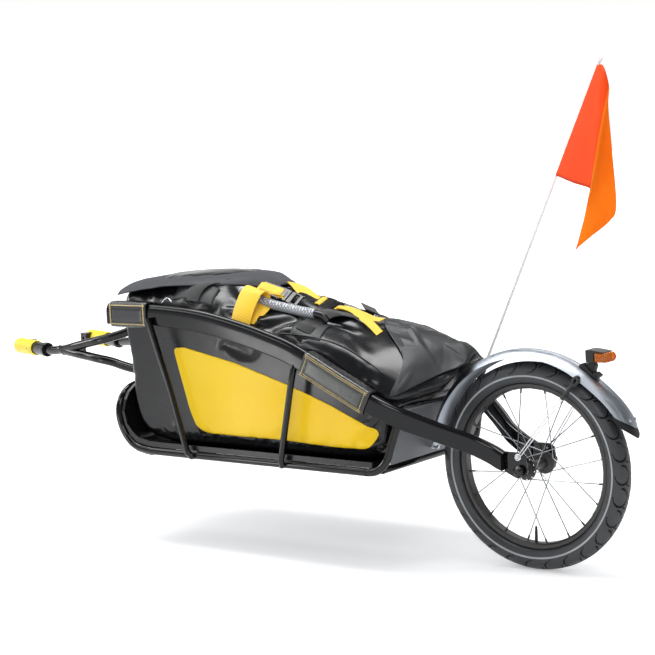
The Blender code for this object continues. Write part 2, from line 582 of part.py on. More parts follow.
# Wheel: the bead seat's radius carries the tyre, tube, rim and spokes.
BEAD_R = TYRE_R - 0.0469
tyre_out = [(0.0094, 0), (0.0094, 0.0060), (0.0152, 0.0072), (0.0200, 0.0139), (0.0220, 0.0249), (0.0185, 0.0369),
            (0.0100, 0.0441)]
tyre_in = [(0.0074, 0), (0.0074, 0.0072), (0.0180, 0.0179), (0.0155, 0.0354)]
section = tyre_out + [(0, TYRE_R - BEAD_R)] + [(-y, r) for y, r in reversed(tyre_out)]
section += [(-y, r) for y, r in tyre_in] + [(0, 0.0431)] + list(reversed(tyre_in))
add("tyre", ring((0, 0, 0), (0, 1, 0), [(y, BEAD_R + r) for y, r in section], 40), trailer)

half = [(0.0065, 0.0029), (0.0065, 0.0099), (0.0160, 0.0209), (0.0140, 0.0329)]
section = half + [(0, 0.0404)] + [(-y, r) for y, r in reversed(half)]
inner_tube = add("inner_tube", ring((0, 0, 0), (0, 1, 0), [(y, BEAD_R + r) for y, r in section], 40), trailer)
valve = Vector((math.sin(math.radians(1)), 0, -math.cos(math.radians(1))))
boolean(inner_tube, "UNION", [
    add("helper_valve", spindle(valve * (BEAD_R - 0.0351), valve, ((0, 0.0022), (0.0080, 0.0026), (0.0120, 0.0030),
                                                                  (0.0420, 0.0030)), 8), trailer, True),
])

half = [(0.0121, 0.0056), (0.0121, -0.0006), (0.0085, -0.0041)]
seat = [(0.0055, -0.0026), (0.0070, -0.0005), (0.0097, -0.0005), (0.0097, 0.0056)]
section = half + [(-y, r) for y, r in reversed(half)] + [(-y, r) for y, r in reversed(seat)] + seat
rim = add("rim", ring((0, 0, 0), (0, 1, 0), [(y, BEAD_R + r) for y, r in section], 40), trailer)
boolean(rim, "DIFFERENCE", [
    add("helper_valve_hole", rod(valve * (BEAD_R - 0.013), valve * (BEAD_R + 0.003), 0.0034, 10), trailer, True),
])

# Each side's spokes lean both ways on one ruled surface, so crossing spokes meet.
HUB_HOLE_R, RIM_HOLE_R = 0.0200, BEAD_R - 0.0045
for name, side in SIDES:
    families = []
    for lean, first in ((72, 0), (-72, 36)):
        rods = []
        for k in range(5):
            at = math.radians(first + 72 * k + (9 if side > 0 else -9))
            to = at + math.radians(lean)
            rods.append(rod(
                (HUB_HOLE_R * math.cos(at), side * 0.035, HUB_HOLE_R * math.sin(at)),
                (RIM_HOLE_R * math.cos(to), side * 0.004, RIM_HOLE_R * math.sin(to)), 0.0011, 6))
        families.append(several(rods))
    spokes = add(f"spokes_{name}", families[0], trailer)
    boolean(spokes, "UNION", [add(f"helper_spokes_{name}", families[1], trailer, True)])

half = [(0, 0.0095), (0.0315, 0.0095), (0.0335, 0.0185), (0.0365, 0.0185), (0.0370, 0.0125), (0.0430, 0.0125),
        (0.0430, 0.0108), (0.0365, 0.0108), (0.0365, 0.0068)]
add("hub_shell", ring((0, 0, 0), (0, 1, 0), half + [(-y, r) for y, r in reversed(half[1:])], 20), trailer)
for name, side in SIDES:
    add(f"bearing_{name}", ring((0, 0, 0), (0, side, 0), (
        (0.0368, 0.0052), (0.0368, 0.0105), (0.0428, 0.0105), (0.0428, 0.0052)), 16), trailer)

half = [(0, 0.0049), (0.0434, 0.0049), (0.0434, 0.0085), (0.0500, 0.0085), (0.0500, 0.0049), (0.0555, 0.0049)]
add("axle", ring((0, 0, 0), (0, 1, 0), half[1:] + [(0.0555, 0.0028), (-0.0555, 0.0028)]
                 + [(-y, r) for y, r in reversed(half[1:])], 12), trailer)
# The skewer's far end carries the barrel that the lever's pin turns in.
skewer = add("skewer", spindle((0, 0.0700, 0), (0, -1, 0), (
    (0, 0.0025), (0.1268, 0.0025), (0.1268, 0.0080), (0.1425, 0.0080), (0.1450, 0.0062)), 16), trailer)
boolean(skewer, "DIFFERENCE", [
    add("helper_lever_bore", rod((0, -0.0660, -0.02), (0, -0.0660, 0.02), 0.0039, 12), trailer, True),
])
add("skewer_nut", ring((0, 0.0567, 0), (0, 1, 0), (
    (0, 0.0028), (0, 0.0105), (0.0090, 0.0105), (0.0125, 0.0080), (0.0145, 0.0050), (0.0145, 0.0028)), 14), trailer)
lever = add("quick_release_lever", spindle((0, -0.0660, -0.0128), (0, 0, 1), (
    (0, 0.0045), (0.0040, 0.0045), (0.0040, 0.0036), (0.0205, 0.0036)), 12), trailer)
boolean(lever, "UNION", [
    add("helper_lever_arm", band(
        ((0, -0.0660, -0.0108), (0.016, -0.0680, -0.0108), (0.036, -0.0665, -0.0108), (0.052, -0.0625, -0.0108)),
        (0, 0, 1), 0.0036, 0.0075), trailer, True),
])

# Flag on its pole.
tilt = Vector((POLE_LEAN, 0, 1)).normalized()
socket = add("flag_socket", spindle(pole_point(0.112), tilt, (
    (0, 0.0062), (0.067, 0.0062), (0.069, 0.0054)), 12), cargo)
boolean(socket, "DIFFERENCE", [
    add("helper_pole_bore", rod(pole_point(0.1365), pole_point(0.20), 0.0034, 10), cargo, True),
    grown_rails[1],
])
pole_length = (pole_point(0.7640) - pole_point(0.1372)).length
add("flag_pole", spindle(pole_point(0.1372), tilt, (
    (0, 0.0030), (pole_length - 0.010, 0.0030), (pole_length - 0.009, 0.0044), (pole_length - 0.002, 0.0044),
    (pole_length, 0.0034)), 10), cargo)

UPPER_EDGE = (
    pole_point(0.7500, -0.1462), Vector((-0.1020, -0.1230, 0.7460)), Vector((-0.1150, -0.118, 0.709)),
    Vector((-0.1140, -0.115, 0.673)), Vector((-0.1170, -0.120, 0.589)), Vector((-0.1150, -0.135, 0.485)),
    Vector((-0.0980, -0.140, 0.455)), Vector((-0.0600, -0.135, 0.426)), Vector((-0.0290, -0.130, 0.402)),
)
LOWER_EDGE = (
    pole_point(0.5430, -0.1462), Vector((-0.0430, -0.100, 0.530)), Vector((-0.1020, -0.060, 0.520)),
    Vector((-0.0890, -0.075, 0.504)), Vector((-0.0760, -0.090, 0.485)), Vector((-0.0610, -0.105, 0.459)),
    Vector((-0.0440, -0.118, 0.429)), Vector((-0.0360, -0.124, 0.414)), Vector((-0.0280, -0.1295, 0.4005)),
)
upper, lower = curved(UPPER_EDGE, 3), curved(LOWER_EDGE, 3)
cloth = []
for i, (top, bottom) in enumerate(zip(upper, lower)):
    run = (upper[min(i + 1, len(upper) - 1)] + lower[min(i + 1, len(upper) - 1)]
           - upper[max(i - 1, 0)] - lower[max(i - 1, 0)])
    billow = 0.006 * math.sin(math.pi * min(i / 9, 1)) * run.cross(top - bottom).normalized()
    cloth.append([top.lerp(bottom, k / 4) + billow * math.sin(math.pi * k / 4) for k in range(5)])
for _ in range(3):
    cloth[1:-1] = [[(a + b * 2 + c) / 4 for a, b, c in zip(*rows)] for rows in zip(cloth, cloth[1:], cloth[2:])]
add("flag", loft([
    [p + n for p, n in row] + [p - n for p, n in reversed(row)] for row in half_walls(cloth, 0.0006)]), cargo)

# Cargo bag.
bag = add("bag_body", loft([bag_ring(*station) for station in BAG]), cargo)
boolean(bag, "DIFFERENCE", [
    add("helper_fender_room", rod((FENDER_X, -0.038, 0), (FENDER_X, 0.038, 0), FENDER_R + 0.005, 64), trailer,
        True),
])
add("bag_flap", loft([flap_ring(*station) for station in FLAP]), cargo)

add("handle_grip", tube((
    (0.618, 0.1000, 0.3230), (0.610, 0.1040, 0.3345), (0.539, 0.1040, 0.3104), (0.478, 0.1040, 0.2975),
    (0.416, 0.1040, 0.2855), (0.403, 0.1010, 0.2700)), 0.0075, 10), cargo)
add("strap_wide", band((
    (0.586, 0.1492, 0.238), (0.586, 0.1492, 0.268), (0.584, 0.1420, 0.290), (0.581, 0.1285, 0.314),
    (0.578, 0.1160, 0.3325), (0.5765, 0.1040, 0.3372), (0.5755, 0.0905, 0.3355)),
    (1, 0, 0.27), 0.055, 0.0024), cargo)
buckle = add("buckle_wide", band(
    ((0.518, 0.074, 0.3215), (0.570, 0.074, 0.3370)), (0, 1, 0), 0.028, 0.009), cargo)
bevel(buckle, 0.002)
add("strap_long", band((
    (0.575, 0.030, 0.3460), (0.555, 0.030, 0.3400), (0.535, 0.030, 0.3285), (0.505, 0.030, 0.3150),
    (0.478, 0.030, 0.3060), (0.430, 0.030, 0.2920), (0.385, 0.030, 0.2805), (0.345, 0.030, 0.2720),
    (0.324, 0.030, 0.2720), (0.308, 0.030, 0.2700)), (0, 1, 0), 0.030, 0.0024), cargo)
buckle = add("buckle_long", band(
    ((0.430, 0.030, 0.2985), (0.474, 0.030, 0.3115)), (0, 1, 0), 0.038, 0.009), cargo)
bevel(buckle, 0.002)

print(len([o for o in bpy.data.objects if o.type == "MESH" and not o.hide_render]), "nodes")
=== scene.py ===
"""The looks of a single-wheel bicycle trailer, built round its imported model.

Sizes are metres. Most pieces are given from the trailer wheel's centre: X forwards, Y to the left, Z up.
"""

import json
import math

import bmesh
import bpy
import numpy as np
from mathutils import Matrix, Vector, noise
from mathutils.bvhtree import BVHTree


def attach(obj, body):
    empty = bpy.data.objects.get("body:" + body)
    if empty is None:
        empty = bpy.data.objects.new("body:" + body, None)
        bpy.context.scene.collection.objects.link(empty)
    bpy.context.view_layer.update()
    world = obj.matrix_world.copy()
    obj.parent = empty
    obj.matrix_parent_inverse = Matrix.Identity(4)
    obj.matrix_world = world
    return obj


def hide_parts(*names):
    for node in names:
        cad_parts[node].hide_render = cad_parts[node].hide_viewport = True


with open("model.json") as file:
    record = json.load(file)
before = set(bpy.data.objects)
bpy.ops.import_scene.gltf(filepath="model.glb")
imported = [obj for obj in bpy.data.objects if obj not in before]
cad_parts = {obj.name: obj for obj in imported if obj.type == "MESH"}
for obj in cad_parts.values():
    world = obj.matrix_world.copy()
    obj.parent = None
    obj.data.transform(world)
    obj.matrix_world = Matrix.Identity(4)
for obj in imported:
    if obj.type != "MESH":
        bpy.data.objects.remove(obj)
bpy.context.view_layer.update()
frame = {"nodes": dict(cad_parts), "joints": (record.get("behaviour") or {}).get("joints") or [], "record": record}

JOINTS = {joint["name"]: joint for joint in frame["joints"]}
WHEEL = Vector(JOINTS["wheel_spin"]["pos_m"])
PIVOT = Vector(JOINTS["steer"]["pos_m"])
YOKE_TURN = math.radians(-17)  # the frame file rests with the yoke turned this far
YOKE = Matrix.Translation(PIVOT) @ Matrix.Rotation(YOKE_TURN, 4, "Z")
TYRE_RADIUS = 0.2
GROUND = WHEEL.z - TYRE_RADIUS
SIDES = (("left", 1), ("right", -1))

# Blender's startup objects.
for startup in ("Cube", "Light", "Camera"):
    if startup in bpy.data.objects:
        bpy.data.objects.remove(bpy.data.objects[startup])


# Materials

def srgb(code):
    """An sRGB hex colour as linear RGBA."""
    values = [int(code[i:i + 2], 16) / 255 for i in (1, 3, 5)]
    return [v / 12.92 if v <= 0.04045 else ((v + 0.055) / 1.055) ** 2.4 for v in values] + [1.0]


def add_node(tree, kind, links=None, **settings):
    """A node with its settings; links and plain values go to the named or numbered inputs."""
    node = tree.nodes.new(kind)
    for name, value in settings.items():
        setattr(node, name, value)
    for key, value in (links or {}).items():
        if isinstance(value, bpy.types.NodeSocket):
            tree.links.new(value, node.inputs[key])
        else:
            node.inputs[key].default_value = value
    return node


def new_material(name, color, roughness, metallic=0.0, **more):
    """A Principled material; more sets plain numbers on the shader's own sockets."""
    material = bpy.data.materials.new(name)
    material.use_nodes = True
    shader = material.node_tree.nodes["Principled BSDF"]
    shader.inputs["Base Color"].default_value = srgb(color)
    shader.inputs["Roughness"].default_value = roughness
    shader.inputs["Metallic"].default_value = metallic
    for key, value in more.items():
        shader.inputs[key.replace("_", " ").title().replace("Ior", "IOR")].default_value = value
    return material, material.node_tree, shader


def place(tree, stretch=(1, 1, 1)):
    """The object's own coordinates in metres, stretched."""
    own = add_node(tree, "ShaderNodeTexCoord").outputs["Object"]
    return add_node(tree, "ShaderNodeMapping", {"Vector": own, "Scale": stretch}).outputs["Vector"]


def grain(tree, size_mm, stretch=(1, 1, 1), detail=3.0, rough=0.5):
    """Noise whose lumps are about size_mm across."""
    return add_node(tree, "ShaderNodeTexNoise", {
        "Vector": place(tree, stretch), "Scale": 500 / size_mm, "Detail": detail, "Roughness": rough,
    }).outputs["Fac"]


def spread(tree, value, low, high, start=0.3, end=0.7):
    """A value from 0 to 1, taken between start and end and spread from low to high."""
    return add_node(tree, "ShaderNodeMapRange", {
        "Value": value, "From Min": start, "From Max": end, "To Min": low, "To Max": high,
    }).outputs["Result"]


def tint(tree, value, color_a, color_b):
    """A soft change from one colour to the other round the middle of a value from 0 to 1."""
    ramp = add_node(tree, "ShaderNodeValToRGB", {"Fac": value})
    for stop, position, color in zip(ramp.color_ramp.elements, (0.35, 0.65), (color_a, color_b)):
        stop.position = position
        stop.color = srgb(color)
    return ramp.outputs["Color"]


def mottle(tree, shader, size_mm, color_a, color_b):
    """Soft patches of two near colours, about size_mm across."""
    tree.links.new(tint(tree, grain(tree, size_mm), color_a, color_b), shader.inputs["Base Color"])


def vary_gloss(tree, shader, size_mm, low, high):
    """Soft patches of roughness from low to high, about size_mm across, as handling leaves."""
    tree.links.new(spread(tree, grain(tree, size_mm), low, high), shader.inputs["Roughness"])


def relief(tree, shader, layers):
    """Bump from (height, depth in mm) pairs, one on another."""
    normal = None
    for height, depth in layers:
        links = {"Height": height, "Distance": depth / 1000, "Strength": 1.0}
        if normal:
            links["Normal"] = normal
        normal = add_node(tree, "ShaderNodeBump", links).outputs["Normal"]
    tree.links.new(normal, shader.inputs["Normal"])


def threads(tree, pitch_mm, axis, stretch=(1, 1, 1)):
    """Stripes one thread apart along an axis; the wave node has 20 / (2 pi) of them in a unit."""
    return add_node(tree, "ShaderNodeTexWave", {
        "Vector": place(tree, stretch), "Scale": 2 * math.pi * 1000 / (20 * pitch_mm), "Distortion": 0.3,
        "Detail": 1.0, "Detail Scale": 2.0,
    }, bands_direction=axis).outputs["Fac"]


def powder_coat(name, color_a, color_b, roughness, gloss):
    """Baked powder: a hard gloss skin with faint orange peel about 1.5 mm across."""
    material, tree, shader = new_material(name, color_a, roughness, specular_ior_level=gloss)
    mottle(tree, shader, 60, color_a, color_b)
    vary_gloss(tree, shader, 25, roughness * 0.8, roughness * 1.25)
    relief(tree, shader, [(grain(tree, 1.5, detail=1.0), 0.02)])
    return material


def moulded_plastic(name, color_a, color_b, roughness, spark_mm=0.8, depth=0.03, gloss=0.4):
    """Injection-moulded ABS or nylon: even colour with a fine spark-eroded skin."""
    material, tree, shader = new_material(name, color_a, roughness, specular_ior_level=gloss)
    mottle(tree, shader, 35, color_a, color_b)
    vary_gloss(tree, shader, 12, roughness * 0.85, roughness * 1.2)
    relief(tree, shader, [(grain(tree, spark_mm), depth)])
    return material


def worked_metal(name, color, roughness, streak=(1, 1, 1), streak_mm=6.0, depth=0.02):
    """Bare metal: bright, with polishing or drawing marks along one direction."""
    material, tree, shader = new_material(name, color, roughness, metallic=1.0)
    marks = grain(tree, streak_mm, streak, detail=5.0, rough=0.65)
    tree.links.new(spread(tree, marks, roughness * 0.7, roughness * 1.4), shader.inputs["Roughness"])
    relief(tree, shader, [(marks, depth)])
    return material


def coated_cloth(name, color_a, color_b, roughness, crumple_mm, crumple_depth, scrim, gloss):
    """Tarpaulin: woven polyester under a vinyl skin; it creases, and threads 2 mm apart show faintly."""
    material, tree, shader = new_material(name, color_a, roughness, specular_ior_level=gloss)
    mottle(tree, shader, 140, color_a, color_b)
    vary_gloss(tree, shader, 50, roughness * 0.8, roughness * 1.3)
    relief(tree, shader, [
        (grain(tree, crumple_mm, (0.7, 1, 1), detail=2.0), crumple_depth),
        (threads(tree, 2.0, "X"), scrim), (threads(tree, 2.0, "Z"), scrim),
    ])
    return material


def weave(tree, shader, ribs, color_a, color_b):
    """Raised threads of color_a over gaps of color_b, with a little fuzz."""
    tree.links.new(tint(tree, ribs, color_b, color_a), shader.inputs["Base Color"])
    relief(tree, shader, [(ribs, 0.12), (grain(tree, 1.4), 0.08)])


def webbing(name, color_a, color_b, axis="Y", roughness=0.6):
    """Woven polypropylene tape: ribs across the strap, drawn 2.2 mm apart so that they show."""
    material, tree, shader = new_material(name, color_a, roughness, sheen_weight=0.2)
    weave(tree, shader, threads(tree, 2.2, axis), color_a, color_b)
    return material


def woven_sleeve(name, color_a, color_b, roughness):
    """A woven polyester tube: threads cross on the slant, drawn 3.4 mm apart so that they show."""
    material, tree, shader = new_material(name, color_a, roughness, sheen_weight=0.2)
    crossing = add_node(tree, "ShaderNodeMath", {
        0: threads(tree, 3.4, "DIAGONAL"), 1: threads(tree, 3.4, "DIAGONAL", (-1, 1, 1)),
    }, operation="MULTIPLY")
    weave(tree, shader, crossing.outputs["Value"], color_a, color_b)
    return material


def coated_leather(name, color_a, color_b, roughness):
    """Coated leather: a pebble grain about 2 mm across, in soft patches of two near colours."""
    material, tree, shader = new_material(name, color_a, roughness, coat_weight=0.15, coat_roughness=0.3)
    mottle(tree, shader, 18, color_a, color_b)
    vary_gloss(tree, shader, 9, roughness * 0.8, roughness * 1.25)
    pebbles = add_node(tree, "ShaderNodeTexVoronoi", {"Vector": place(tree), "Scale": 1000 / 2.2})
    relief(tree, shader, [(pebbles.outputs["Distance"], 0.12), (grain(tree, 30), 0.6)])
    return material


def tyre_rubber():
    """Black tread rubber: a soft, faintly mottled sheen from its bloom and dust."""
    material, tree, shader = new_material("tyre rubber", "#25272A", 0.5)
    mottle(tree, shader, 30, "#222426", "#2C2E31")
    vary_gloss(tree, shader, 8, 0.36, 0.52)
    relief(tree, shader, [(grain(tree, 1.2), 0.06)])
    return material


def flag_nylon(name, color_a, color_b, through):
    """Thin woven nylon: it lets some light through, so its far side glows."""
    material, tree, shader = new_material(name, color_a, 0.5, specular_ior_level=0.15)
    color = tint(tree, grain(tree, 90, (1, 1, 0.5)), color_a, color_b)
    tree.links.new(color, shader.inputs["Base Color"])
    relief(tree, shader, [(threads(tree, 1.6, "X"), 0.05), (threads(tree, 1.6, "Z"), 0.05)])
    glow = add_node(tree, "ShaderNodeBsdfTranslucent", {"Color": color})
    both = add_node(tree, "ShaderNodeMixShader", {0: through, 1: shader.outputs[0], 2: glow.outputs[0]})
    tree.links.new(both.outputs[0], tree.nodes["Material Output"].inputs["Surface"])
    return material


def amber_acrylic():
    """Moulded acrylic, tinted amber: the dark cells behind it, painted shade inside the lamp, show, broken by ribs
    3 mm apart on its inside.
    """
    material, tree, shader = new_material(
        "amber acrylic", "#FF8A10", 0.12, transmission_weight=0.7, ior=1.4)
    relief(tree, shader, [(threads(tree, 3.0, "Z"), 0.15)])
    return material


FRAME_BLACK = powder_coat("powder coat, black", "#050506", "#08080A", 0.1, 0.36)
RAIL_BLACK = powder_coat("powder coat, satin black", "#07080A", "#0B0C0F", 0.16, 0.3)
PANEL_GREY = powder_coat("powder coat, grey", "#727478", "#7C7E82", 0.35, 0.4)
ANODISED_BLACK = powder_coat("anodised aluminium, black", "#211F1E", "#2A2826", 0.34, 0.5)
BLACK_PLASTIC = moulded_plastic("moulded nylon, black", "#0D0D0F", "#131315", 0.24)
MATT_PLASTIC = moulded_plastic("moulded nylon, matt black", "#151517", "#1C1C1E", 0.5, 1.0, 0.05, 0.3)
CAP_YELLOW = moulded_plastic("moulded nylon, yellow", "#E6CE28", "#ECD63C", 0.35, 0.9, 0.02)
FENDER_METAL = worked_metal("polished aluminium", "#A4AAB2", 0.38, (1, 9, 1), 30, 0.004)
WIRE_STEEL = worked_metal("drawn stainless wire", "#C9CBCE", 0.24)
SPOKE_STEEL = worked_metal("stainless spoke wire", "#8E9093", 0.22)
ZINC_STEEL = worked_metal("zinc-plated steel", "#B4B6BA", 0.32)
CHROME_STEEL = worked_metal("turned steel", "#D6D8DB", 0.15)
LEVER_METAL = worked_metal("forged aluminium, blackened", "#3A3B3F", 0.3)
TARPAULIN = coated_cloth("tarpaulin, gloss black", "#0A0B0D", "#101114", 0.23, 70, 2.0, 0.008, 0.36)
COVER_CLOTH = coated_cloth("coated cloth, matt charcoal", "#232526", "#2D2F30", 0.44, 40, 0.8, 0.015, 0.3)
FLAP_CLOTH = coated_cloth("coated cloth, grey", "#34363A", "#3F4145", 0.55, 60, 1.5, 0.02, 0.25)
YELLOW_CLOTH = coated_cloth("tarpaulin, yellow", "#EDC706", "#EFC204", 0.36, 80, 1.5, 0.01, 0.3)
YELLOW_WEBBING = webbing("woven webbing, yellow", "#EFC004", "#E6B600")
BLACK_WEBBING = webbing("woven webbing, black", "#131315", "#0A0A0B", roughness=0.8)
GRIP_WEAVE = woven_sleeve("woven grip tube, grey", "#E6E9EC", "#767A80", 0.4)
KNOB_GREY = moulded_plastic("moulded nylon, pale grey", "#9BA0A6", "#A8ADB3", 0.28)
# The rear wraps' faces are black leather; this grey is a painted reflection on them.
WRAP_SHEEN_GREY = coated_leather("coated leather, black with painted sheen", "#3A3D3A", "#434643", 0.34)
WRAP_GLOSS = coated_leather("coated leather, gloss black", "#0A0B0D", "#101114", 0.2)
WRAP_DARK = coated_leather("coated leather, black", "#101012", "#161618", 0.3)
GOLD_THREAD = webbing("bonded thread, gold", "#D9C48A", "#B09A60", "X", 0.5)
# Near-black rubber on the tread grooves' floors: painted shade in the recesses.
GROOVE_SHADE_RUBBER = moulded_plastic("tread groove, shaded rubber", "#0B0B0C", "#111112", 0.7, 1.2, 0.02, 0.2)
# The lamp's dark brown cells are painted shade inside the lamp.
LAMP_INNER_SHADE = moulded_plastic("lamp cells, dark brown painted shade", "#4A2210", "#5A2A14", 0.2)
TYRE_RUBBER = tyre_rubber()
STRIPE = moulded_plastic("reflective tape", "#8C8F91", "#9C9FA1", 0.35, 0.6, 0.04)
TUBE_RUBBER = moulded_plastic("butyl rubber", "#1A1A1B", "#232324", 0.6)
POLE_WHITE = moulded_plastic("fibreglass rod, white", "#E4E4E1", "#EFEFEC", 0.35, 1.5, 0.03)
FLAG_ORANGE = flag_nylon("nylon, orange", "#EC4A04", "#F05008", 0.3)
FLAG_AMBER = flag_nylon("nylon, orange with light behind it", "#F58A10", "#F9A82A", 0.55)
LENS_AMBER = amber_acrylic()


# Shapes

def at(x, y, z):
    """A point given from the wheel's centre."""
    return WHEEL + Vector((x, y, z))


def smooth_path(points, steps):
    """A smooth curve through the points, with this many steps from each to the next."""
    points = [Vector(p) for p in points]
    points = [2 * points[0] - points[1]] + points + [2 * points[-1] - points[-2]]
    path = []
    for a, b, c, d in zip(points, points[1:], points[2:], points[3:]):
        for k in range(steps):
            t = k / steps
            path.append(0.5 * (2 * b + (c - a) * t + (2 * a - 5 * b + 4 * c - d) * t * t
                               + (3 * b - a - 3 * c + d) * t ** 3))
    return path + [points[-2]]


def loft(rings, closed=False):
    """The skin over rings of one length, as (points, faces); it is capped unless it closes on itself."""
    count = len(rings[0])
    points = [tuple(p) for ring in rings for p in ring]
    faces = []
    for i in range(len(rings) if closed else len(rings) - 1):
        a, b = i * count, (i + 1) % len(rings) * count
        for k in range(count):
            m = (k + 1) % count
            faces.append((a + k, a + m, b + m, b + k))
    if not closed:
        faces += [tuple(range(count)), tuple(range(len(points) - count, len(points)))]
    return points, faces


def join(shapes):
    """Several (points, faces) as one."""
    points, faces = [], []
    for more_points, more_faces in shapes:
        start = len(points)
        points += more_points
        faces += [tuple(start + i for i in face) for face in more_faces]
    return points, faces


def circle(radius, sides):
    """Points round a circle as (x, y)."""
    angles = [2 * math.pi * k / sides for k in range(sides)]
    return [(radius * math.cos(a), radius * math.sin(a)) for a in angles]


def aim(origin, direction):
    """A matrix that puts Z at the origin along the direction."""
    turn = Vector(direction).to_track_quat("Z", "Y").to_matrix().to_4x4()
    return Matrix.Translation(Vector(origin)) @ turn


def turned(origin, axis, profile, sides, hollow=False):
    """A turned shape from (distance along the axis, radius) pairs; a hollow one's profile closes up."""
    to = aim(origin, axis)
    if hollow:
        rings = [[to @ Vector((r * c, r * s, a)) for a, r in profile] for c, s in circle(1.0, sides)]
        return loft(rings, closed=True)
    return loft([[to @ Vector((x, y, a)) for x, y in circle(r, sides)] for a, r in profile])


def tube(path, radius, sides):
    """A round bar along a path of points."""
    path = [Vector(p) for p in path]
    steps = [(b - a).normalized() for a, b in zip(path, path[1:])]
    tangents = [steps[0]] + [(a + b).normalized() for a, b in zip(steps, steps[1:])] + [steps[-1]]
    side = tangents[0].orthogonal().normalized()
    rings = []
    for i, (point, tangent) in enumerate(zip(path, tangents)):
        if i:
            side = tangents[i - 1].rotation_difference(tangent) @ side
        up = tangent.cross(side)
        rings.append([point + side * x + up * y for x, y in circle(radius, sides)])
    return loft(rings)


def heading(path, i):
    """The direction of a path at its point i."""
    return (path[min(i + 1, len(path) - 1)] - path[max(i - 1, 0)]).normalized()


def ribbon(path, across, width, thick, steps=6):
    """A flat strap with eased edges along a smooth path; across is one direction or one for each point."""
    fixed = not isinstance(across, list)
    path = smooth_path(path, steps)
    across = [Vector(across)] * len(path) if fixed else smooth_path(across, steps)
    rise, edge = thick / 2, width / 2 * 0.995
    flat = width / 2 - min(thick * 0.45, width / 8)
    section = [(flat, -rise), (edge, -rise / 2), (edge, rise / 2), (flat, rise)]
    section += [(-s, -r) for s, r in section]
    rings = []
    for i, (point, side) in enumerate(zip(path, across)):
        side = side.normalized()
        out = heading(path, i).cross(side).normalized()
        rings.append([point + side * s + out * r for s, r in section])
    return loft(rings)


def rounded_section(centre, across, up, half_width, half_height, corners, steps):
    """A ring round a box section; corners has the (radius across, radius up) of each quarter in turn."""
    ring = []
    for quarter, (sx, sy, (wide, tall)) in enumerate(zip((1, -1, -1, 1), (1, 1, -1, -1), corners)):
        for k in range(steps + 1):
            a = math.radians(90 * quarter + 90 * k / steps)
            ring.append(centre + across * (sx * (half_width - wide) + wide * math.cos(a))
                        + up * (sy * (half_height - tall) + tall * math.sin(a)))
    return ring


def block(to, low, high):
    """A plain block between two corners, placed by a matrix."""
    points = [to @ Vector((x, y, z))
              for x in (low[0], high[0]) for y in (low[1], high[1]) for z in (low[2], high[2])]
    return points, [(0, 1, 3, 2), (4, 6, 7, 5), (0, 4, 5, 1), (2, 3, 7, 6), (0, 2, 6, 4), (1, 5, 7, 3)]


def piece(name, shape, material, body, stands_for=None, smooth=40):
    """A finished object from (points, faces) or a mesh, which rides on its body and may stand for a node."""
    if isinstance(shape, tuple):
        mesh = bpy.data.meshes.new(name)
        mesh.from_pydata([tuple(p) for p in shape[0]], [], shape[1])
        work = bmesh.new()
        work.from_mesh(mesh)
        bmesh.ops.recalc_face_normals(work, faces=work.faces)
        work.to_mesh(mesh)
        work.free()
    else:
        mesh = shape
    mesh.shade_smooth()
    mesh.set_sharp_from_angle(angle=math.radians(smooth))
    mesh.materials.clear()
    for each in material if isinstance(material, list) else [material]:
        mesh.materials.append(each)
    obj = bpy.data.objects.new(name, mesh)
    bpy.context.scene.collection.objects.link(obj)
    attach(obj, body)
    if stands_for:
        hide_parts(stands_for)
    return obj


def add_modifier(obj, kind, **settings):
    """A modifier with its settings."""
    modifier = obj.modifiers.new(kind.lower(), kind)
    for name, value in settings.items():
        setattr(modifier, name, value)


def ease_edges(obj, width, segments=3):
    """Rounds the edges sharper than 30 degrees, as moulding and machining leave them."""
    add_modifier(obj, "BEVEL", width=width, segments=segments, limit_method="ANGLE",
                 angle_limit=math.radians(30), harden_normals=True)


def cad_mesh(node):
    """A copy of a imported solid's mesh, welded and with its flat faces whole again."""
    work = bmesh.new()
    work.from_mesh(frame["nodes"][node].data)
    bmesh.ops.remove_doubles(work, verts=work.verts, dist=1e-5)
    bmesh.ops.dissolve_limit(work, angle_limit=math.radians(0.5), verts=work.verts, edges=work.edges)
    mesh = bpy.data.meshes.new(node)
    work.to_mesh(mesh)
    work.free()
    return mesh


def applied(mesh, modifiers):
    """The mesh after these (kind, settings) modifiers."""
    obj = bpy.data.objects.new("work", mesh)
    bpy.context.scene.collection.objects.link(obj)
    for kind, settings in modifiers:
        add_modifier(obj, kind, **settings)
    graph = bpy.context.evaluated_depsgraph_get()
    result = bpy.data.meshes.new_from_object(obj.evaluated_get(graph))
    bpy.data.objects.remove(obj)
    return result


def blended(node, voxel, rounds):
    """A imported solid's skin made again in even faces, with its facets and joints smoothed away."""
    return applied(cad_mesh(node), [
        ("REMESH", {"mode": "VOXEL", "voxel_size": voxel}),
        ("CORRECTIVE_SMOOTH", {"iterations": rounds, "smooth_type": "SIMPLE", "use_only_smooth": True}),
    ])


def coordinates(mesh):
    """A mesh's points as rows of numbers."""
    values = np.empty(len(mesh.vertices) * 3)
    mesh.vertices.foreach_get("co", values)
    return values.reshape(-1, 3)


def move_to(mesh, points):
    """Puts the mesh's points at these places."""
    mesh.vertices.foreach_set("co", np.asarray(points, float).ravel())
    mesh.update()


def surface_of(mesh):
    """A tree for finding points on a mesh."""
    mesh.calc_loop_triangles()
    return BVHTree.FromPolygons([v.co for v in mesh.vertices], [t.vertices for t in mesh.loop_triangles])


# Frame: welded and painted steel and aluminium

def dress_cad(node, material, ease):
    """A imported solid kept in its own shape, with its edges eased."""
    body = next(b for b, nodes in frame["record"]["behaviour"]["bodies"].items() if node in nodes)
    finish = piece(f"{node}_finish", cad_mesh(node), material, body, node, smooth=30)
    if ease:
        ease_edges(finish, ease, 2)


def from_pivot(x, y, z):
    """A point on the yoke: x towards the bicycle's axle, y to the left, z above the wheel's centre."""
    return YOKE @ Vector((x, y, z + WHEEL.z))


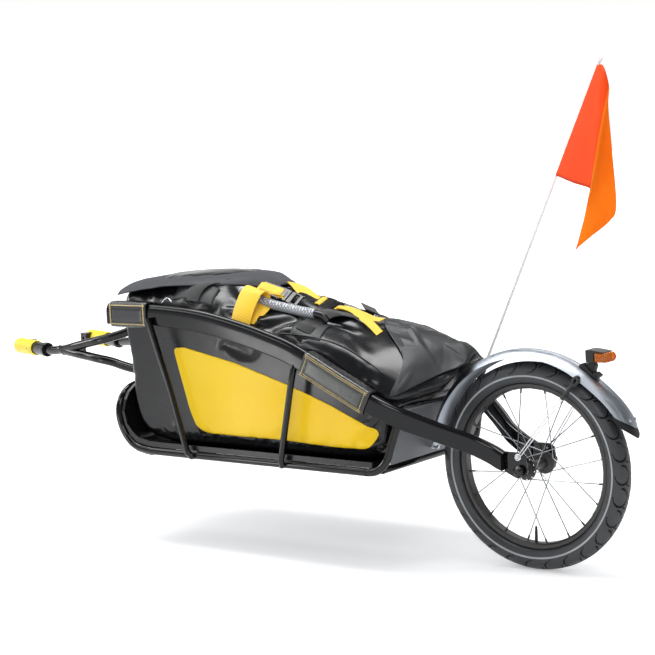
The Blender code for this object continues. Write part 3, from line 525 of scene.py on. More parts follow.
def weld_bead(middle, direction, radius, thick):
    """The fillet left round a joint, with the 18 ripples of its weld."""
    to = aim(middle, direction)
    rings = []
    for k in range(72):
        a = 2 * math.pi * k / 72
        swell = thick * (1 + 0.16 * math.sin(18 * a))
        bead = [(radius + swell * u, swell * w) for u, w in circle(1.0, 10)]
        rings.append([to @ Vector((r * math.cos(a), r * math.sin(a), rise)) for r, rise in bead])
    return loft(rings, closed=True)


# The yoke's arms: an upper and a lower tube from each hitch socket to the pivot lugs, with a web between.
ARM_RADIUS, WEB_THICK = 0.0098, 0.0036
UPPER_ARM = (
    (0.2695, 0.095, 0.1705), (0.262, 0.095, 0.1705), (0.245, 0.0945, 0.1713), (0.215, 0.0924, 0.1745),
    (0.19, 0.0907, 0.1783), (0.15, 0.088, 0.1869), (0.11, 0.0795, 0.196), (0.075, 0.072, 0.2035),
    (0.048, 0.053, 0.211), (0.025, 0.028, 0.2205), (0.006, 0.006, 0.2325),
)
LOWER_ARM = (
    (0.215, 0.0925, 0.176), (0.15, 0.088, 0.1714), (0.11, 0.0795, 0.1672), (0.075, 0.072, 0.1634),
    (0.048, 0.053, 0.1564), (0.025, 0.028, 0.144), (0.006, 0.006, 0.136),
)
ARM_WEB = ((0.215, 0.0924, 0.175), (0.15, 0.088, 0.1869), (0.118, 0.0812, 0.194), (0.114, 0.0804, 0.168),
           (0.15, 0.088, 0.1714))
LUG_FLOORS, LUG_BORE, LUG_RADIUS, LUG_HEIGHT, LUG_EASE = (0.23, 0.1264), 0.0063, 0.02, 0.0187, 0.0008
yoke_shapes = []
for name, side in SIDES:
    for arm in (UPPER_ARM, LOWER_ARM):
        route = smooth_path([from_pivot(x, side * y, z) for x, y, z in arm], 8)
        yoke_shapes.append(tube(route, ARM_RADIUS, 28))
    near, far = from_pivot(0.213, side * 0.0924, 0.1758), from_pivot(0.15, side * 0.088, 0.171)
    yoke_shapes.append(weld_bead(near.lerp(far, 0.32), far - near, ARM_RADIUS - 0.0004, 0.0016))
    web = [from_pivot(x, side * y, z) for x, y, z in ARM_WEB]
    out = Vector((0, 0, 1)).cross(web[2] - web[0]).normalized() * (WEB_THICK / 2)
    yoke_shapes.append(loft([[p + out for p in web], [p - out for p in web]]))
for z in LUG_FLOORS:
    yoke_shapes.append(turned(from_pivot(0, 0, z), (0, 0, 1), (
        (0, LUG_BORE), (0, LUG_RADIUS - LUG_EASE), (LUG_EASE, LUG_RADIUS),
        (LUG_HEIGHT - LUG_EASE, LUG_RADIUS), (LUG_HEIGHT, LUG_RADIUS - LUG_EASE), (LUG_HEIGHT, LUG_BORE),
    ), 64, hollow=True))
piece("yoke_frame_skin", join(yoke_shapes), FRAME_BLACK, "yoke", "yoke_frame", smooth=50)

# The base loop from its left upright to the middle of the front bow, and the hoops welded under it.
LOOP_RADIUS, HOOP_RADIUS = 0.008, 0.0065
LOOP = ((0.2115, 0.1475, 0.09), (0.2197, 0.1526, 0.06), (0.2246, 0.1556, 0.0425), (0.2285, 0.1584, 0.0266),
        (0.2371, 0.1625, 0.01), (0.2528, 0.1645, -0.0016), (0.2711, 0.165, -0.0055),
        (0.3, 0.165, -0.0055), (0.53, 0.165, -0.0055), (0.8, 0.165, -0.0055),
        (0.838, 0.165, -0.0045), (0.873, 0.165, 0.0015), (0.895, 0.165, 0.0165), (0.912, 0.165, 0.042),
        (0.9205, 0.163, 0.072), (0.9215, 0.152, 0.1), (0.92, 0.128, 0.119), (0.918, 0.09, 0.126),
        (0.918, 0.03, 0.127))
HOOPS = (
    ((0.8055, 0.1834, 0.2775), (0.78, 0.1828, 0.203), (0.755, 0.182, 0.13), (0.722, 0.18, 0.012),
     (0.717, 0.1785, 0.001), (0.713, 0.1735, -0.0052), (0.711, 0.165, -0.0066),
     (0.711, 0.05, -0.0066)),
    ((0.4345, 0.168, 0.202), (0.44, 0.176, 0.168), (0.456, 0.178, 0.09), (0.4715, 0.18, 0.012),
     (0.4735, 0.1785, 0.001), (0.475, 0.1735, -0.0052), (0.476, 0.165, -0.0066),
     (0.476, 0.05, -0.0066)),
)


def mirrored(path):
    """A path on the left and back again on the right."""
    return [at(*p) for p in path] + [at(x, -y, z) for x, y, z in reversed(path)]


loop_shapes = [tube(smooth_path(mirrored(LOOP), 6), LOOP_RADIUS, 28)]
loop_shapes += [tube(smooth_path(mirrored(path), 6), HOOP_RADIUS, 24) for path in HOOPS]
loop_shapes += [weld_bead(at(x, y, -0.0066), (0, 1, 0), HOOP_RADIUS - 0.0005, 0.002)
                for x in (0.711, 0.476) for y in (-0.156, 0.156)]
piece("base_loop_skin", join(loop_shapes), FRAME_BLACK, "frame", "base_loop", smooth=50)
piece("head_tube_skin", blended("head_tube", 0.0014, 6), FRAME_BLACK, "frame", "head_tube", smooth=60)

# Top rail with its wheel arm: middle of the section (x, y, z) and its height, from the dropout forwards.
RAIL_WIDTH = 0.022
RAIL = (
    (0.0345, 0.058, 0.0165, 0.036), (0.06, 0.06, 0.0295, 0.036), (0.094, 0.072, 0.046, 0.036),
    (0.13, 0.098, 0.064, 0.037), (0.17, 0.125, 0.0835, 0.038), (0.215, 0.15, 0.1055, 0.039),
    (0.26, 0.163, 0.1275, 0.04), (0.32, 0.165, 0.157, 0.04), (0.437, 0.165, 0.214, 0.042),
    (0.511, 0.165, 0.238, 0.043), (0.59, 0.165, 0.2575, 0.044), (0.69, 0.165, 0.2755, 0.044),
    (0.81, 0.165, 0.283, 0.044), (0.93, 0.165, 0.283, 0.044),
)


def rail_skin(side):
    """The hydroformed rail: a full round top, a flat outer side and a tight lower edge."""
    path = smooth_path([(x, side * y, z) for x, y, z, _ in RAIL], 8)
    heights = [p.x for p in smooth_path([(h, 0, 0) for *_, h in RAIL], 8)]
    rings = []
    for i, (point, height) in enumerate(zip(path, heights)):
        along = heading(path, i)
        across = Vector((-along.y, along.x, 0)).normalized()
        up = Vector((0, 0, 1)) if i == 0 else along.cross(across)
        # The round top deepens from the wheel arm to the straight rail.
        top = (0.0105, 0.0095 + 0.0095 * min(max((point.x - 0.22) / 0.15, 0), 1))
        edge = (0.004, 0.004)
        rings.append(rounded_section(
            WHEEL + point, across, up, RAIL_WIDTH / 2, height / 2, (top, top, edge, edge), 12))
    return loft(rings)


for name, side in SIDES:
    rail = f"top_rail_{name}"
    ease_edges(piece(f"{rail}_skin", rail_skin(side), RAIL_BLACK, "frame", rail, smooth=50), 0.0012)
panel_lip = [(0.2215, 0.108), (0.2151, 0.0502), (0.2045, 0.007)]
panel_lip += [(x, -y) for x, y in reversed(panel_lip)]
panel_lip = smooth_path([at(x, y, 0.1164) for x, y in panel_lip], 4)
piece("rear_panel_lip", tube(panel_lip, 0.0016, 10), ZINC_STEEL, "frame")

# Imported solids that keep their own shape: node, material and how far its edges are eased.
for node, material, ease in (
    ("front_bar", FRAME_BLACK, 0.001), ("rear_cross_tube", FRAME_BLACK, 0.001),
    ("rear_panel", PANEL_GREY, 0.0008),
    ("tray", BLACK_PLASTIC, 0.0006), ("skid_strip", MATT_PLASTIC, 0.0006),
    ("dropout_left", FRAME_BLACK, 0.0008), ("dropout_right", FRAME_BLACK, 0.0008),
    ("pivot_bush_upper", MATT_PLASTIC, 0.0005), ("pivot_bush_lower", MATT_PLASTIC, 0.0005),
    ("king_pin", ZINC_STEEL, 0.0005), ("king_pin_nut", ZINC_STEEL, 0.0005),
    ("hitch_socket_left", BLACK_PLASTIC, 0.0006), ("hitch_socket_right", BLACK_PLASTIC, 0.0006),
    ("lock_spring_left", WIRE_STEEL, 0), ("lock_spring_right", WIRE_STEEL, 0),
    ("lock_sleeve_left", CAP_YELLOW, 0.0005), ("lock_sleeve_right", CAP_YELLOW, 0.0005),
    ("fender_bolt", ZINC_STEEL, 0.0003),
    ("stay_bolt_left", ZINC_STEEL, 0.0003), ("stay_bolt_right", ZINC_STEEL, 0.0003),
    ("flag_socket", MATT_PLASTIC, 0.0006), ("flag_pole", POLE_WHITE, 0.0003),
    ("axle", ZINC_STEEL, 0.0003), ("skewer", LEVER_METAL, 0.0006),
    ("quick_release_lever", LEVER_METAL, 0.0008),
    ("bearing_left", CHROME_STEEL, 0), ("bearing_right", CHROME_STEEL, 0),
    ("spokes_left", SPOKE_STEEL, 0), ("spokes_right", SPOKE_STEEL, 0),
    ("rim", ANODISED_BLACK, 0.0004), ("inner_tube", TUBE_RUBBER, 0),
):
    dress_cad(node, material, ease)


# Fender: one bowed and polished sheet

FENDER_CENTRE, FENDER_RADIUS = 0.005, 0.2245
FENDER_TIP = (1.15, 1.5)


def stand_off(angle):
    """How far the fender's rear end stands away from its circle."""
    t = min(max((angle - 126) / 32, 0), 1)
    return 0.0125 * t * t * (3 - 2 * t)


def fender_sheet(first, last, edge_radius, crown_radius, half_width, thick, ends, step=1.0):
    """A bowed sheet round the wheel from angle to angle.

    Each end narrows over a share of the half width, with a power that makes it round (2) or more pointed.
    """
    rings = []
    turns = round((last - first) / step)
    for i in range(turns + 1):
        angle = first + (last - first) * i / turns
        tongue = 1.0
        for from_end, (share, bulge) in ((angle - first, ends[0]), (last - angle, ends[1])):
            near = max(1 - from_end * math.radians(1) * crown_radius / (half_width * share), 0)
            tongue = min(tongue, max(1 - near ** bulge, 0.02) ** (1 / bulge))
        away = stand_off(angle)
        outer, inner = [], []
        for k in range(25):
            a = math.radians(-90 + 7.5 * k)
            across, depth = math.sin(a), math.cos(a)
            y = half_width * across * tongue
            bow = edge_radius + (crown_radius - edge_radius) * (1 - abs(y / half_width) ** 2.4)
            outer.append((y, bow))
            inner.append((y * (1 - 0.6 * thick / half_width), bow - thick * (0.35 + 0.65 * depth)))
        c, s = math.cos(math.radians(angle)), math.sin(math.radians(angle))
        rings.append([at(FENDER_CENTRE + (r + away) * c, y, (r + away) * s) for y, r in outer + inner[::-1]])
    return loft(rings)


fender = fender_sheet(4, 158.5, 0.209, FENDER_RADIUS, 0.0295, 0.0016, ((0.8, 2), FENDER_TIP))
piece("fender_sheet", fender, FENDER_METAL, "frame", "fender", smooth=50)
flap_ends = ((0.05, 2), FENDER_TIP)
mudflap = fender_sheet(148.5, 163.0, 0.206, FENDER_RADIUS - 0.0026, 0.031, 0.0022, flap_ends, 0.5)
piece("mudflap_sheet", mudflap, MATT_PLASTIC, "frame", "mudflap", smooth=50)
rivet_angle = math.radians(154.5)
rivet_reach = FENDER_RADIUS + stand_off(154.5) - 0.0004
for name, y in (("right", -0.01), ("left", 0.01)):
    rivet = at(FENDER_CENTRE + rivet_reach * math.cos(rivet_angle), y, rivet_reach * math.sin(rivet_angle))
    head = turned(rivet, rivet - at(FENDER_CENTRE, 0, 0), (
        (-0.003, 0.0022), (0.0004, 0.0032), (0.0012, 0.0026), (0.0016, 0.001)), 20)
    piece(f"mudflap_rivet_{name}", head, ZINC_STEEL, "frame")

# The pin in each lock sleeve's side.
for name, side in SIDES:
    hole = from_pivot(0.3445, side * 0.1128, 0.1705)
    pin = turned(hole, hole - from_pivot(0.3445, side * 0.095, 0.171), (
        (-0.002, 0.0016), (0.0002, 0.0016), (0.0004, 0.0008)), 20)
    piece(f"lock_sleeve_{name}_pin", pin, MATT_PLASTIC, f"sleeve_{name}")


# Stays: two wires from an eyelet on the dropout to a black clip on the fender's edge

def round_wheel(angle, reach, y):
    """A point at an angle in degrees round the wheel's axle, up from straight ahead."""
    return at(reach * math.cos(math.radians(angle)), y, reach * math.sin(math.radians(angle)))


WIRE_RADIUS, WIRE_Y = 0.0012, 0.058
# Each wire's start and bend as (x, z), and the angle, reach and y of its end in the clip.
STAY_WIRES = (
    ((-0.001, 0.0296), (-0.0085, 0.042), (120.55, 0.1672, 0.0375)),
    ((-0.0013, 0.0265), (-0.012, 0.0385), (122.08, 0.1676, 0.0368)),
)
EYELET = ((0, 0.0062), (0.0008, 0.0071), (0.0022, 0.0071), (0.003, 0.0062), (0.003, 0.0026), (0, 0.0026))
for name, side in SIDES:
    wires = [turned(at(0.003, side * 0.0566, 0.0255), (0, side, 0), EYELET, 32, hollow=True)]
    for start, bend, (angle, reach, y) in STAY_WIRES:
        route = [at(x, side * WIRE_Y, z) for x, z in (start, bend)] + [round_wheel(angle, reach, side * y)]
        wires.append(tube(smooth_path(route, 5), WIRE_RADIUS, 12))
    piece(f"stay_wires_{name}", join(wires), WIRE_STEEL, "frame", f"stay_{name}", smooth=50)
    rod_from, rod_to = round_wheel(120.9, 0.16, side * 0.0372), round_wheel(122.6, 0.2, side * 0.035)
    rod = turned(rod_from, rod_to - rod_from, (
        (0, 0.0024), (0.0008, 0.0038), (0.01, 0.004), (0.0105, 0.0033), (0.0125, 0.0033), (0.013, 0.0041),
        ((rod_to - rod_from).length, 0.0041)), 24)
    middle, along = round_wheel(122.8, 0.205, side * 0.0345), (rod_to - rod_from).normalized()
    across = Vector((0, side, 0)).cross(along).normalized()
    turn = [math.radians(a) for a in range(0, 361, 15)]
    eye = [middle + along * 0.0092 * math.cos(a) + across * 0.0048 * math.sin(a) for a in turn]
    clip = [rod, tube(eye, 0.0034, 12)]
    piece(f"stay_clip_{name}", join(clip), BLACK_PLASTIC, "frame", smooth=50)


# Wheel

TREAD_HOOKS, TREAD_DEPTH, GROOVE_HALF = 28, 0.0019, 0.0016


def tread_cut(along, across):
    """How deep the tread is cut: a row of hooked arcs on each shoulder with a short sipe above each."""
    pitch = 2 * math.pi * TYRE_RADIUS / TREAD_HOOKS
    # The two shoulders' hooks are half a pitch apart. Each lies on an ellipse round (u, v) = (0, 0).
    shoulder = abs(across)
    u = (along + 0.5 * pitch * (across > 0)) % pitch - 0.5 * pitch
    v = shoulder - 0.0175
    from_arc = abs(math.hypot(u / 0.0185, v / 0.0135) - 1) * 0.015
    from_hook = from_arc if v < 0.001 or u > 0 else 0.01
    from_sipe = max(abs(u + 0.62 * (shoulder - 0.007) - 0.0195), abs(shoulder - 0.0045) - 0.0035) + 0.0003
    return TREAD_DEPTH * (min(from_hook, from_sipe) < GROOVE_HALF)


def tyre_outline():
    """The tyre's section: outside as (across, radius, way from the crown) and inside as (across, radius)."""
    half = [(0.0094, 0.1531), (0.0094, 0.1591), (0.015, 0.1605), (0.0186, 0.164), (0.0208, 0.17),
            (0.0219, 0.1765), (0.0218, 0.182), (0.0204, 0.1872), (0.0178, 0.1915), (0.014, 0.1951),
            (0.0095, 0.1979), (0.0048, 0.1995)]
    outer = half + [(0, TYRE_RADIUS)] + [(-y, r) for y, r in reversed(half)]
    profile = [p.xz for p in smooth_path([(y, 0, r) for y, r in outer], 4)]
    walked, crown = [0.0], min(range(len(profile)), key=lambda i: abs(profile[i][0]))
    for a, b in zip(profile, profile[1:]):
        walked.append(walked[-1] + (b - a).length)
    rows = [(y, r, math.copysign(abs(far - walked[crown]), y)) for (y, r), far in zip(profile, walked)]
    inner = [(-0.0074, 0.1531), (-0.0074, 0.1603), (-0.018, 0.171), (-0.0155, 0.1885), (0, 0.1962),
             (0.0155, 0.1885), (0.018, 0.171), (0.0074, 0.1603), (0.0074, 0.1531)]
    return rows, inner


def tyre_carcass():
    """The tyre with its cut tread; the grooves' floors get a darker rubber, as painted shade."""
    rows, inner = tyre_outline()
    rings, cut = [], []
    stations = 45 * TREAD_HOOKS
    for i in range(stations):
        a = 2 * math.pi * i / stations
        c, s = math.cos(a), math.sin(a)
        depths = [tread_cut(a * TYRE_RADIUS, along) if r > 0.18 else 0 for _, r, along in rows]
        rings.append([at((r - deep) * c, y, (r - deep) * s) for (y, r, _), deep in zip(rows, depths)]
                     + [at(r * c, y, r * s) for y, r in inner])
        cut += [deep > 0 for deep in depths] + [False] * len(inner)
    tyre = piece("tyre_carcass", loft(rings, closed=True), TYRE_RUBBER, "wheel", "tyre", smooth=35)
    tyre.data.materials.append(GROOVE_SHADE_RUBBER)
    for face in tyre.data.polygons:
        if sum(cut[v] for v in face.vertices) > 2:
            face.material_index = 1


tyre_carcass()
STRIPE_SECTION = ((0.0215, 0.1728), (0.02205, 0.1762), (0.02215, 0.1762), (0.0216, 0.1728))
for name, side in SIDES:
    piece(f"tyre_stripe_{name}", turned(at(0, 0, 0), (0, side, 0), STRIPE_SECTION, 180, hollow=True), STRIPE,
          "wheel")


def hub_profile():
    """Barrel, two flanges and the bearing seats, as (distance along the axle, radius); the flanges' spoke holes
    are not drawn.
    """
    half = [(0.0, 0.0096), (0.024, 0.0098), (0.03, 0.0108), (0.0322, 0.014), (0.0327, 0.0216),
            (0.0332, 0.0223), (0.0366, 0.0223), (0.0372, 0.0216), (0.0376, 0.015), (0.039, 0.0135),
            (0.0424, 0.0132), (0.043, 0.0125), (0.043, 0.0108), (0.0365, 0.0108), (0.0365, 0.0068)]
    return half + [(-y, r) for y, r in reversed(half[1:])]


piece("hub_skin", turned(at(0, 0, 0), (0, 1, 0), hub_profile(), 96, hollow=True), ANODISED_BLACK, "wheel",
      "hub_shell", smooth=35)

# On each side five spokes lean forwards and five back, by 72 degrees from the hub's flange to the rim.
FLANGE_REACH, RIM_REACH = 0.02, 0.1486
SPOKE_HEAD = ((-0.001, 0.0016), (0.0004, 0.0016), (0.001, 0.0008))
SPOKE_NIPPLE = ((0, 0.0019), (0.007, 0.0018), (0.009, 0.0013))
for name, side in SIDES:
    heads, nipples = [], []
    for lean, first in ((72, 0), (-72, 36)):
        for k in range(5):
            angle = first + 72 * k + 9 * side
            hub_end = round_wheel(angle, FLANGE_REACH, side * 0.035)
            rim_end = round_wheel(angle + lean, RIM_REACH, side * 0.004)
            heads.append(turned(hub_end + Vector((0, side * 0.0021, 0)), (0, side, 0), SPOKE_HEAD, 16))
            nipples.append(turned(rim_end, hub_end - rim_end, SPOKE_NIPPLE, 14))
    piece(f"spoke_heads_{name}", join(heads), CHROME_STEEL, "wheel")
    piece(f"spoke_nipples_{name}", join(nipples), ANODISED_BLACK, "wheel")

# The skewer's knob, with 12 grooves round its rim.
knob = []
for y, r in ((0.0567, 0.003), (0.0567, 0.0092), (0.0578, 0.0103), (0.0648, 0.0103), (0.0662, 0.0092),
             (0.069, 0.007), (0.071, 0.0045), (0.071, 0.003)):
    grooved = [r - (0.0008 if k % 6 < 2 and r > 0.009 else 0) for k in range(72)]
    knob.append([round_wheel(5 * k, radius, y) for k, radius in enumerate(grooved)])
piece("skewer_knob", loft(knob, closed=True), BLACK_PLASTIC, "wheel", "skewer_nut", smooth=35)


# Lamp: a visored housing with a ribbed amber lens

LAMP = Vector(JOINTS["lamp_tilt"]["pos_m"])
VISOR = ((-0.0098, -0.005), (0.005, -0.005), (0.0064, -0.003), (0.007, 0.016), (0.0052, 0.0178),
         (-0.006, 0.0176), (-0.024, 0.0152), (-0.0316, 0.0142), (-0.0322, 0.0135), (-0.01, 0.013))
VISOR_HALF, LENS_HALF = 0.0168, 0.0176


def across_lamp(outline, half):
    """A side view (x, z) from the lamp's hinge as a solid that reaches this far to each side."""
    return loft([[LAMP + Vector((x, y, z)) for x, z in outline] for y in (-half, half)])


def lens_shape():
    """A bar along Y with a half-round rear face, rounded ends and ribs every 2.4 mm."""
    radius, rib_pitch, rib_height, half_depth = 0.0089, 0.0024, 0.00035, 0.009
    middle = Vector((-0.021, 0.0, 0.0039))
    turn = [math.radians(a) for a in range(90, 271, 12)]
    rear_face = [(-0.0315 + radius * math.cos(a), middle.z - radius * math.sin(a)) for a in turn]
    side_view = [(-0.0103, -0.005)] + rear_face + [(-0.0103, 0.0128)]
    rings = []
    for k in range(89):
        y = LENS_HALF * (k / 44 - 1)
        end = min(1.0, (LENS_HALF - abs(y)) / 0.005)
        full = math.sqrt(1 - (1 - end) ** 2) * 0.55 + 0.45
        rib = rib_height * math.cos(2 * math.pi * y / rib_pitch)
        grow = full * (1 + rib / half_depth)
        rings.append([LAMP + middle + (Vector((x, 0, z)) - middle) * grow + Vector((0, y, 0))
                      for x, z in side_view])
    return loft(rings)


visor = across_lamp(VISOR, VISOR_HALF)
ease_edges(piece("lamp_shell", visor, BLACK_PLASTIC, "lamp", "light_housing"), 0.001)
piece("lamp_lens", lens_shape(), LENS_AMBER, "lamp", "light_lens", smooth=50)
# Dark brown blocks behind the lens: painted shade inside the lamp.
cells = [block(Matrix.Translation(LAMP), (-0.031, y - 0.0042, -0.0022), (-0.0108, y + 0.0042, 0.01))
         for y in (-0.01, 0.0, 0.01)]
piece("lamp_cells", join(cells), LAMP_INNER_SHADE, "lamp")

# The lamp's bracket: a foot on the fender, as (angle, reach), and a web from it up to the hinge.
foot = [(round_wheel(angle, reach, 0) + Vector((FENDER_CENTRE, 0, 0)) - LAMP).xz for angle, reach in (
    (120.2, 0.2345), (119.3, 0.23), (119.1, 0.225), (129.6, 0.2256), (130.0, 0.2345), (127.4, 0.2345),
    (127.0, 0.23))]
web = [(-0.004, -0.0044), (0.0064, -0.0044), (0.0078, -0.009), foot[0], foot[6], (-0.008, -0.013)]
bracket = join([across_lamp(foot, 0.01), across_lamp(web, 0.006)])
ease_edges(piece("lamp_bracket_foot", bracket, MATT_PLASTIC, "frame", "light_bracket"), 0.0007)


# Cargo bag: a coated-cloth bag filled with soft load

def relax(grid, rounds):
    """Smooths a grid of points along its rows and columns; its corners stay."""
    grid = np.array(grid, float)
    for _ in range(rounds):
        inner = grid.copy()
        inner[1:-1] = 0.25 * grid[:-2] + 0.5 * grid[1:-1] + 0.25 * grid[2:]
        grid = inner.copy()
        grid[:, 1:-1] = 0.25 * inner[:, :-2] + 0.5 * inner[:, 1:-1] + 0.25 * inner[:, 2:]
    return grid


def grid_skin(grid):
    """The open skin over a grid of points."""
    rows, columns = len(grid), len(grid[0])
    faces = [(i * columns + k, i * columns + k + 1, (i + 1) * columns + k + 1, (i + 1) * columns + k)
             for i in range(rows - 1) for k in range(columns - 1)]
    return [tuple(p) for row in grid for p in row], faces


def swells(points, size, stretch):
    """Noise with narrow valleys, as cloth has between its folds: 0 in a valley, 1 on a swell."""
    shift = Vector((7.1, 3.7, 5.3))
    lumps = np.array([noise.noise(Vector(p * stretch) / size + shift) for p in points])
    return np.minimum(np.abs(lumps) * 2.4, 1)


def near_line(points, start, end, side):
    """How far along a line each point is, from 0 to 1, and how far from it; side -1 is the line's mirror."""
    a, b = (np.array((p[0], side * p[1], p[2])) for p in (start, end))
    along = b - a
    t = np.clip((points - a) @ along / (along @ along), 0, 1)
    return t, np.linalg.norm(points - a - t[:, None] * along, axis=1)


# Creases pressed into the bag by its straps and its load: start, end, half width and depth.
CREASES = (
    ((0.875, 0.14, 0.3), (0.845, 0.148, 0.08), 0.012, 0.005),
    ((0.82, 0.147, 0.24), (0.855, 0.148, 0.05), 0.01, 0.004),
    ((0.89, 0.09, 0.25), (0.872, 0.12, 0.06), 0.014, 0.005),
    ((0.86, 0.06, 0.345), (0.8, 0.132, 0.318), 0.01, 0.005),
    ((0.775, 0.085, 0.346), (0.705, 0.142, 0.3), 0.009, 0.006),
    ((0.7, 0.06, 0.348), (0.655, 0.136, 0.292), 0.009, 0.006),
    ((0.64, 0.075, 0.322), (0.56, 0.138, 0.262), 0.011, 0.005),
    ((0.545, 0.138, 0.262), (0.47, 0.1, 0.27), 0.012, 0.005),
    ((0.52, 0.142, 0.246), (0.385, 0.13, 0.206), 0.01, 0.0065),
    ((0.445, 0.118, 0.243), (0.3, 0.132, 0.172), 0.01, 0.008),
    ((0.44, 0.066, 0.258), (0.345, 0.05, 0.236), 0.016, 0.01),
    ((0.395, 0.085, 0.24), (0.3, 0.116, 0.186), 0.009, 0.006),
    ((0.4, 0.146, 0.186), (0.262, 0.14, 0.14), 0.01, 0.006),
    ((0.56, 0.05, 0.312), (0.45, 0.09, 0.272), 0.011, 0.005),
    ((0.68, 0.146, 0.236), (0.56, 0.148, 0.205), 0.012, 0.003),
    ((0.8, 0.147, 0.262), (0.72, 0.148, 0.232), 0.01, 0.003),
    ((0.672, 0.148, 0.236), (0.652, 0.148, 0.214), 0.006, 0.004),
    ((0.652, 0.148, 0.214), (0.628, 0.148, 0.23), 0.006, 0.004),
    ((0.3, 0.148, 0.095), (0.255, 0.146, 0.128), 0.008, 0.004),
    ((0.33, 0.148, 0.08), (0.262, 0.146, 0.105), 0.007, 0.0035),
)


def crease_depth(points, crease):
    """How far one crease draws each point in, with a low swell beside it, on both sides of the bag."""
    start, end, width, depth = crease
    total = np.zeros(len(points))
    for _, side in SIDES:
        t, away = near_line(points, start, end, side)
        ends = np.sin(np.pi * np.clip(t, 0.04, 0.96)) ** 0.5
        swell = 0.45 * np.exp(-((away - 1.9 * width) / width) ** 2)
        total += depth * ends * (np.exp(-(away / width) ** 2) - swell)
    return total


def settle_cloth(mesh, held, looser, pressure, frames, reach):
    """Lets the cloth buckle where it is a little too large for its load; each point keeps near its place."""
    before = coordinates(mesh)
    obj = bpy.data.objects.new("cloth work", mesh)
    bpy.context.scene.collection.objects.link(obj)
    group = obj.vertex_groups.new(name="held")
    for i in np.nonzero(held)[0]:
        group.add([int(i)], float(held[i]), "REPLACE")
    cloth = obj.modifiers.new("cloth", "CLOTH")
    sewn = cloth.settings
    sewn.quality, sewn.mass, sewn.bending_stiffness = 5, 0.25, 0.8
    sewn.tension_stiffness, sewn.compression_stiffness, sewn.shear_stiffness = 25, 10, 8
    sewn.shrink_min, sewn.shrink_max = -looser, -looser
    sewn.use_pressure, sewn.uniform_pressure_force = True, pressure
    sewn.vertex_group_mass = "held"
    sewn.effector_weights.gravity = 0
    cloth.collision_settings.use_collision = False
    scene = bpy.context.scene
    cloth.point_cache.frame_start, cloth.point_cache.frame_end = 1, frames
    for step in range(1, frames + 1):
        scene.frame_set(step)
    after = coordinates(obj.evaluated_get(bpy.context.evaluated_depsgraph_get()).data)
    scene.frame_set(1)
    bpy.data.objects.remove(obj)
    move = after - before
    length = np.linalg.norm(move, axis=1, keepdims=True) + 1e-9
    return before + move * reach * np.tanh(length / reach) / length


# The rails and the tray keep the bag's skin within its side and floor. Over the fender's half width it keeps
# this far from the fender's middle.
BAG_SIDE, BAG_FLOOR, FENDER_HALF, FENDER_ROOM = 0.1482, 0.0068, 0.044, 0.2315


def bag_mesh():
    """The bag's skin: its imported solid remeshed, drawn in at its creases and settled as cloth."""
    mesh = blended("bag_body", 0.0065, 8)
    wheel = np.array(WHEEL)
    points = coordinates(mesh) - wheel
    normals = np.array([v.normal for v in mesh.vertices])
    draw_in = 0.0022 * (1 - swells(points, 0.2, np.array((0.5, 1, 1))))
    for crease in CREASES:
        draw_in += crease_depth(points, crease)
    above_foot = np.clip((points[:, 2] - 0.012) / 0.03, 0, 1)
    points -= normals * (draw_in * above_foot)[:, None]
    move_to(mesh, points + wheel)
    under_strap = (np.abs(points[:, 0] - 0.586) < 0.022) & (points[:, 2] > 0.2)
    held = np.maximum(1 - above_foot, 0.6 * under_strap)
    points = settle_cloth(mesh, held, looser=0.045, pressure=1.2, frames=18, reach=0.007) - wheel
    points[:, 1] = np.clip(points[:, 1], -BAG_SIDE, BAG_SIDE)
    points[:, 2] = np.maximum(points[:, 2], BAG_FLOOR)
    near_fender = (np.abs(points[:, 1]) < FENDER_HALF) & (points[:, 0] < 0.26)
    reach = np.hypot(points[:, 0] - FENDER_CENTRE, points[:, 2])
    push = np.where(near_fender & (reach < FENDER_ROOM), FENDER_ROOM / reach, 1)
    points[:, 0] = FENDER_CENTRE + (points[:, 0] - FENDER_CENTRE) * push
    points[:, 2] *= push
    move_to(mesh, points + wheel)
    return applied(mesh, [("SUBSURF", {"levels": 1})])


bag_skin_mesh = bag_mesh()
BAG_SURFACE = surface_of(bag_skin_mesh)
piece("bag_skin", bag_skin_mesh, TARPAULIN, "bag", "bag_body", smooth=180)


def on_bag(x, y, above):
    """The point on top of the bag over (x, y), raised by a little."""
    start = at(x, y, 0.5)
    hit = BAG_SURFACE.ray_cast(start, Vector((0, 0, -1)))[0]
    return Vector((start.x, start.y, hit.z + above))


def beside_bag(x, z, side, above):
    """The point on the bag's side at (x, z), moved outwards by a little."""
    start = at(x, side * 0.4, z)
    hit = BAG_SURFACE.ray_cast(start, Vector((0, -side, 0)))[0]
    return Vector((start.x, hit.y + side * above, start.z))


# Yellow side panels: outline corners (x, z) with their corner radii.
PANEL = (
    (0.77, 0.213, 0.01), (0.74, 0.2155, 0.004), (0.605, 0.189, 0), (0.469, 0.1504, 0), (0.369, 0.117, 0),
    (0.308, 0.0914, 0), (0.2585, 0.07, 0.012), (0.28, 0.0345, 0.02), (0.374, 0.0336, 0),
    (0.498, 0.0386, 0), (0.698, 0.0395, 0.014), (0.719, 0.056, 0), (0.733, 0.0861, 0),
)


def rounded_outline(corners):
    """The outline through (x, z, radius) corners; one with a radius is rounded in six steps."""
    outline = []
    for i, (x, z, radius) in enumerate(corners):
        here = Vector((x, z))
        before = (Vector(corners[i - 1][:2]) - here).normalized() * radius
        after = (Vector(corners[(i + 1) % len(corners)][:2]) - here).normalized() * radius
        for t in [k / 6 for k in range(7)] if radius else [0]:
            outline.append(here + before * (1 - t) ** 2 + after * t ** 2)
    return outline


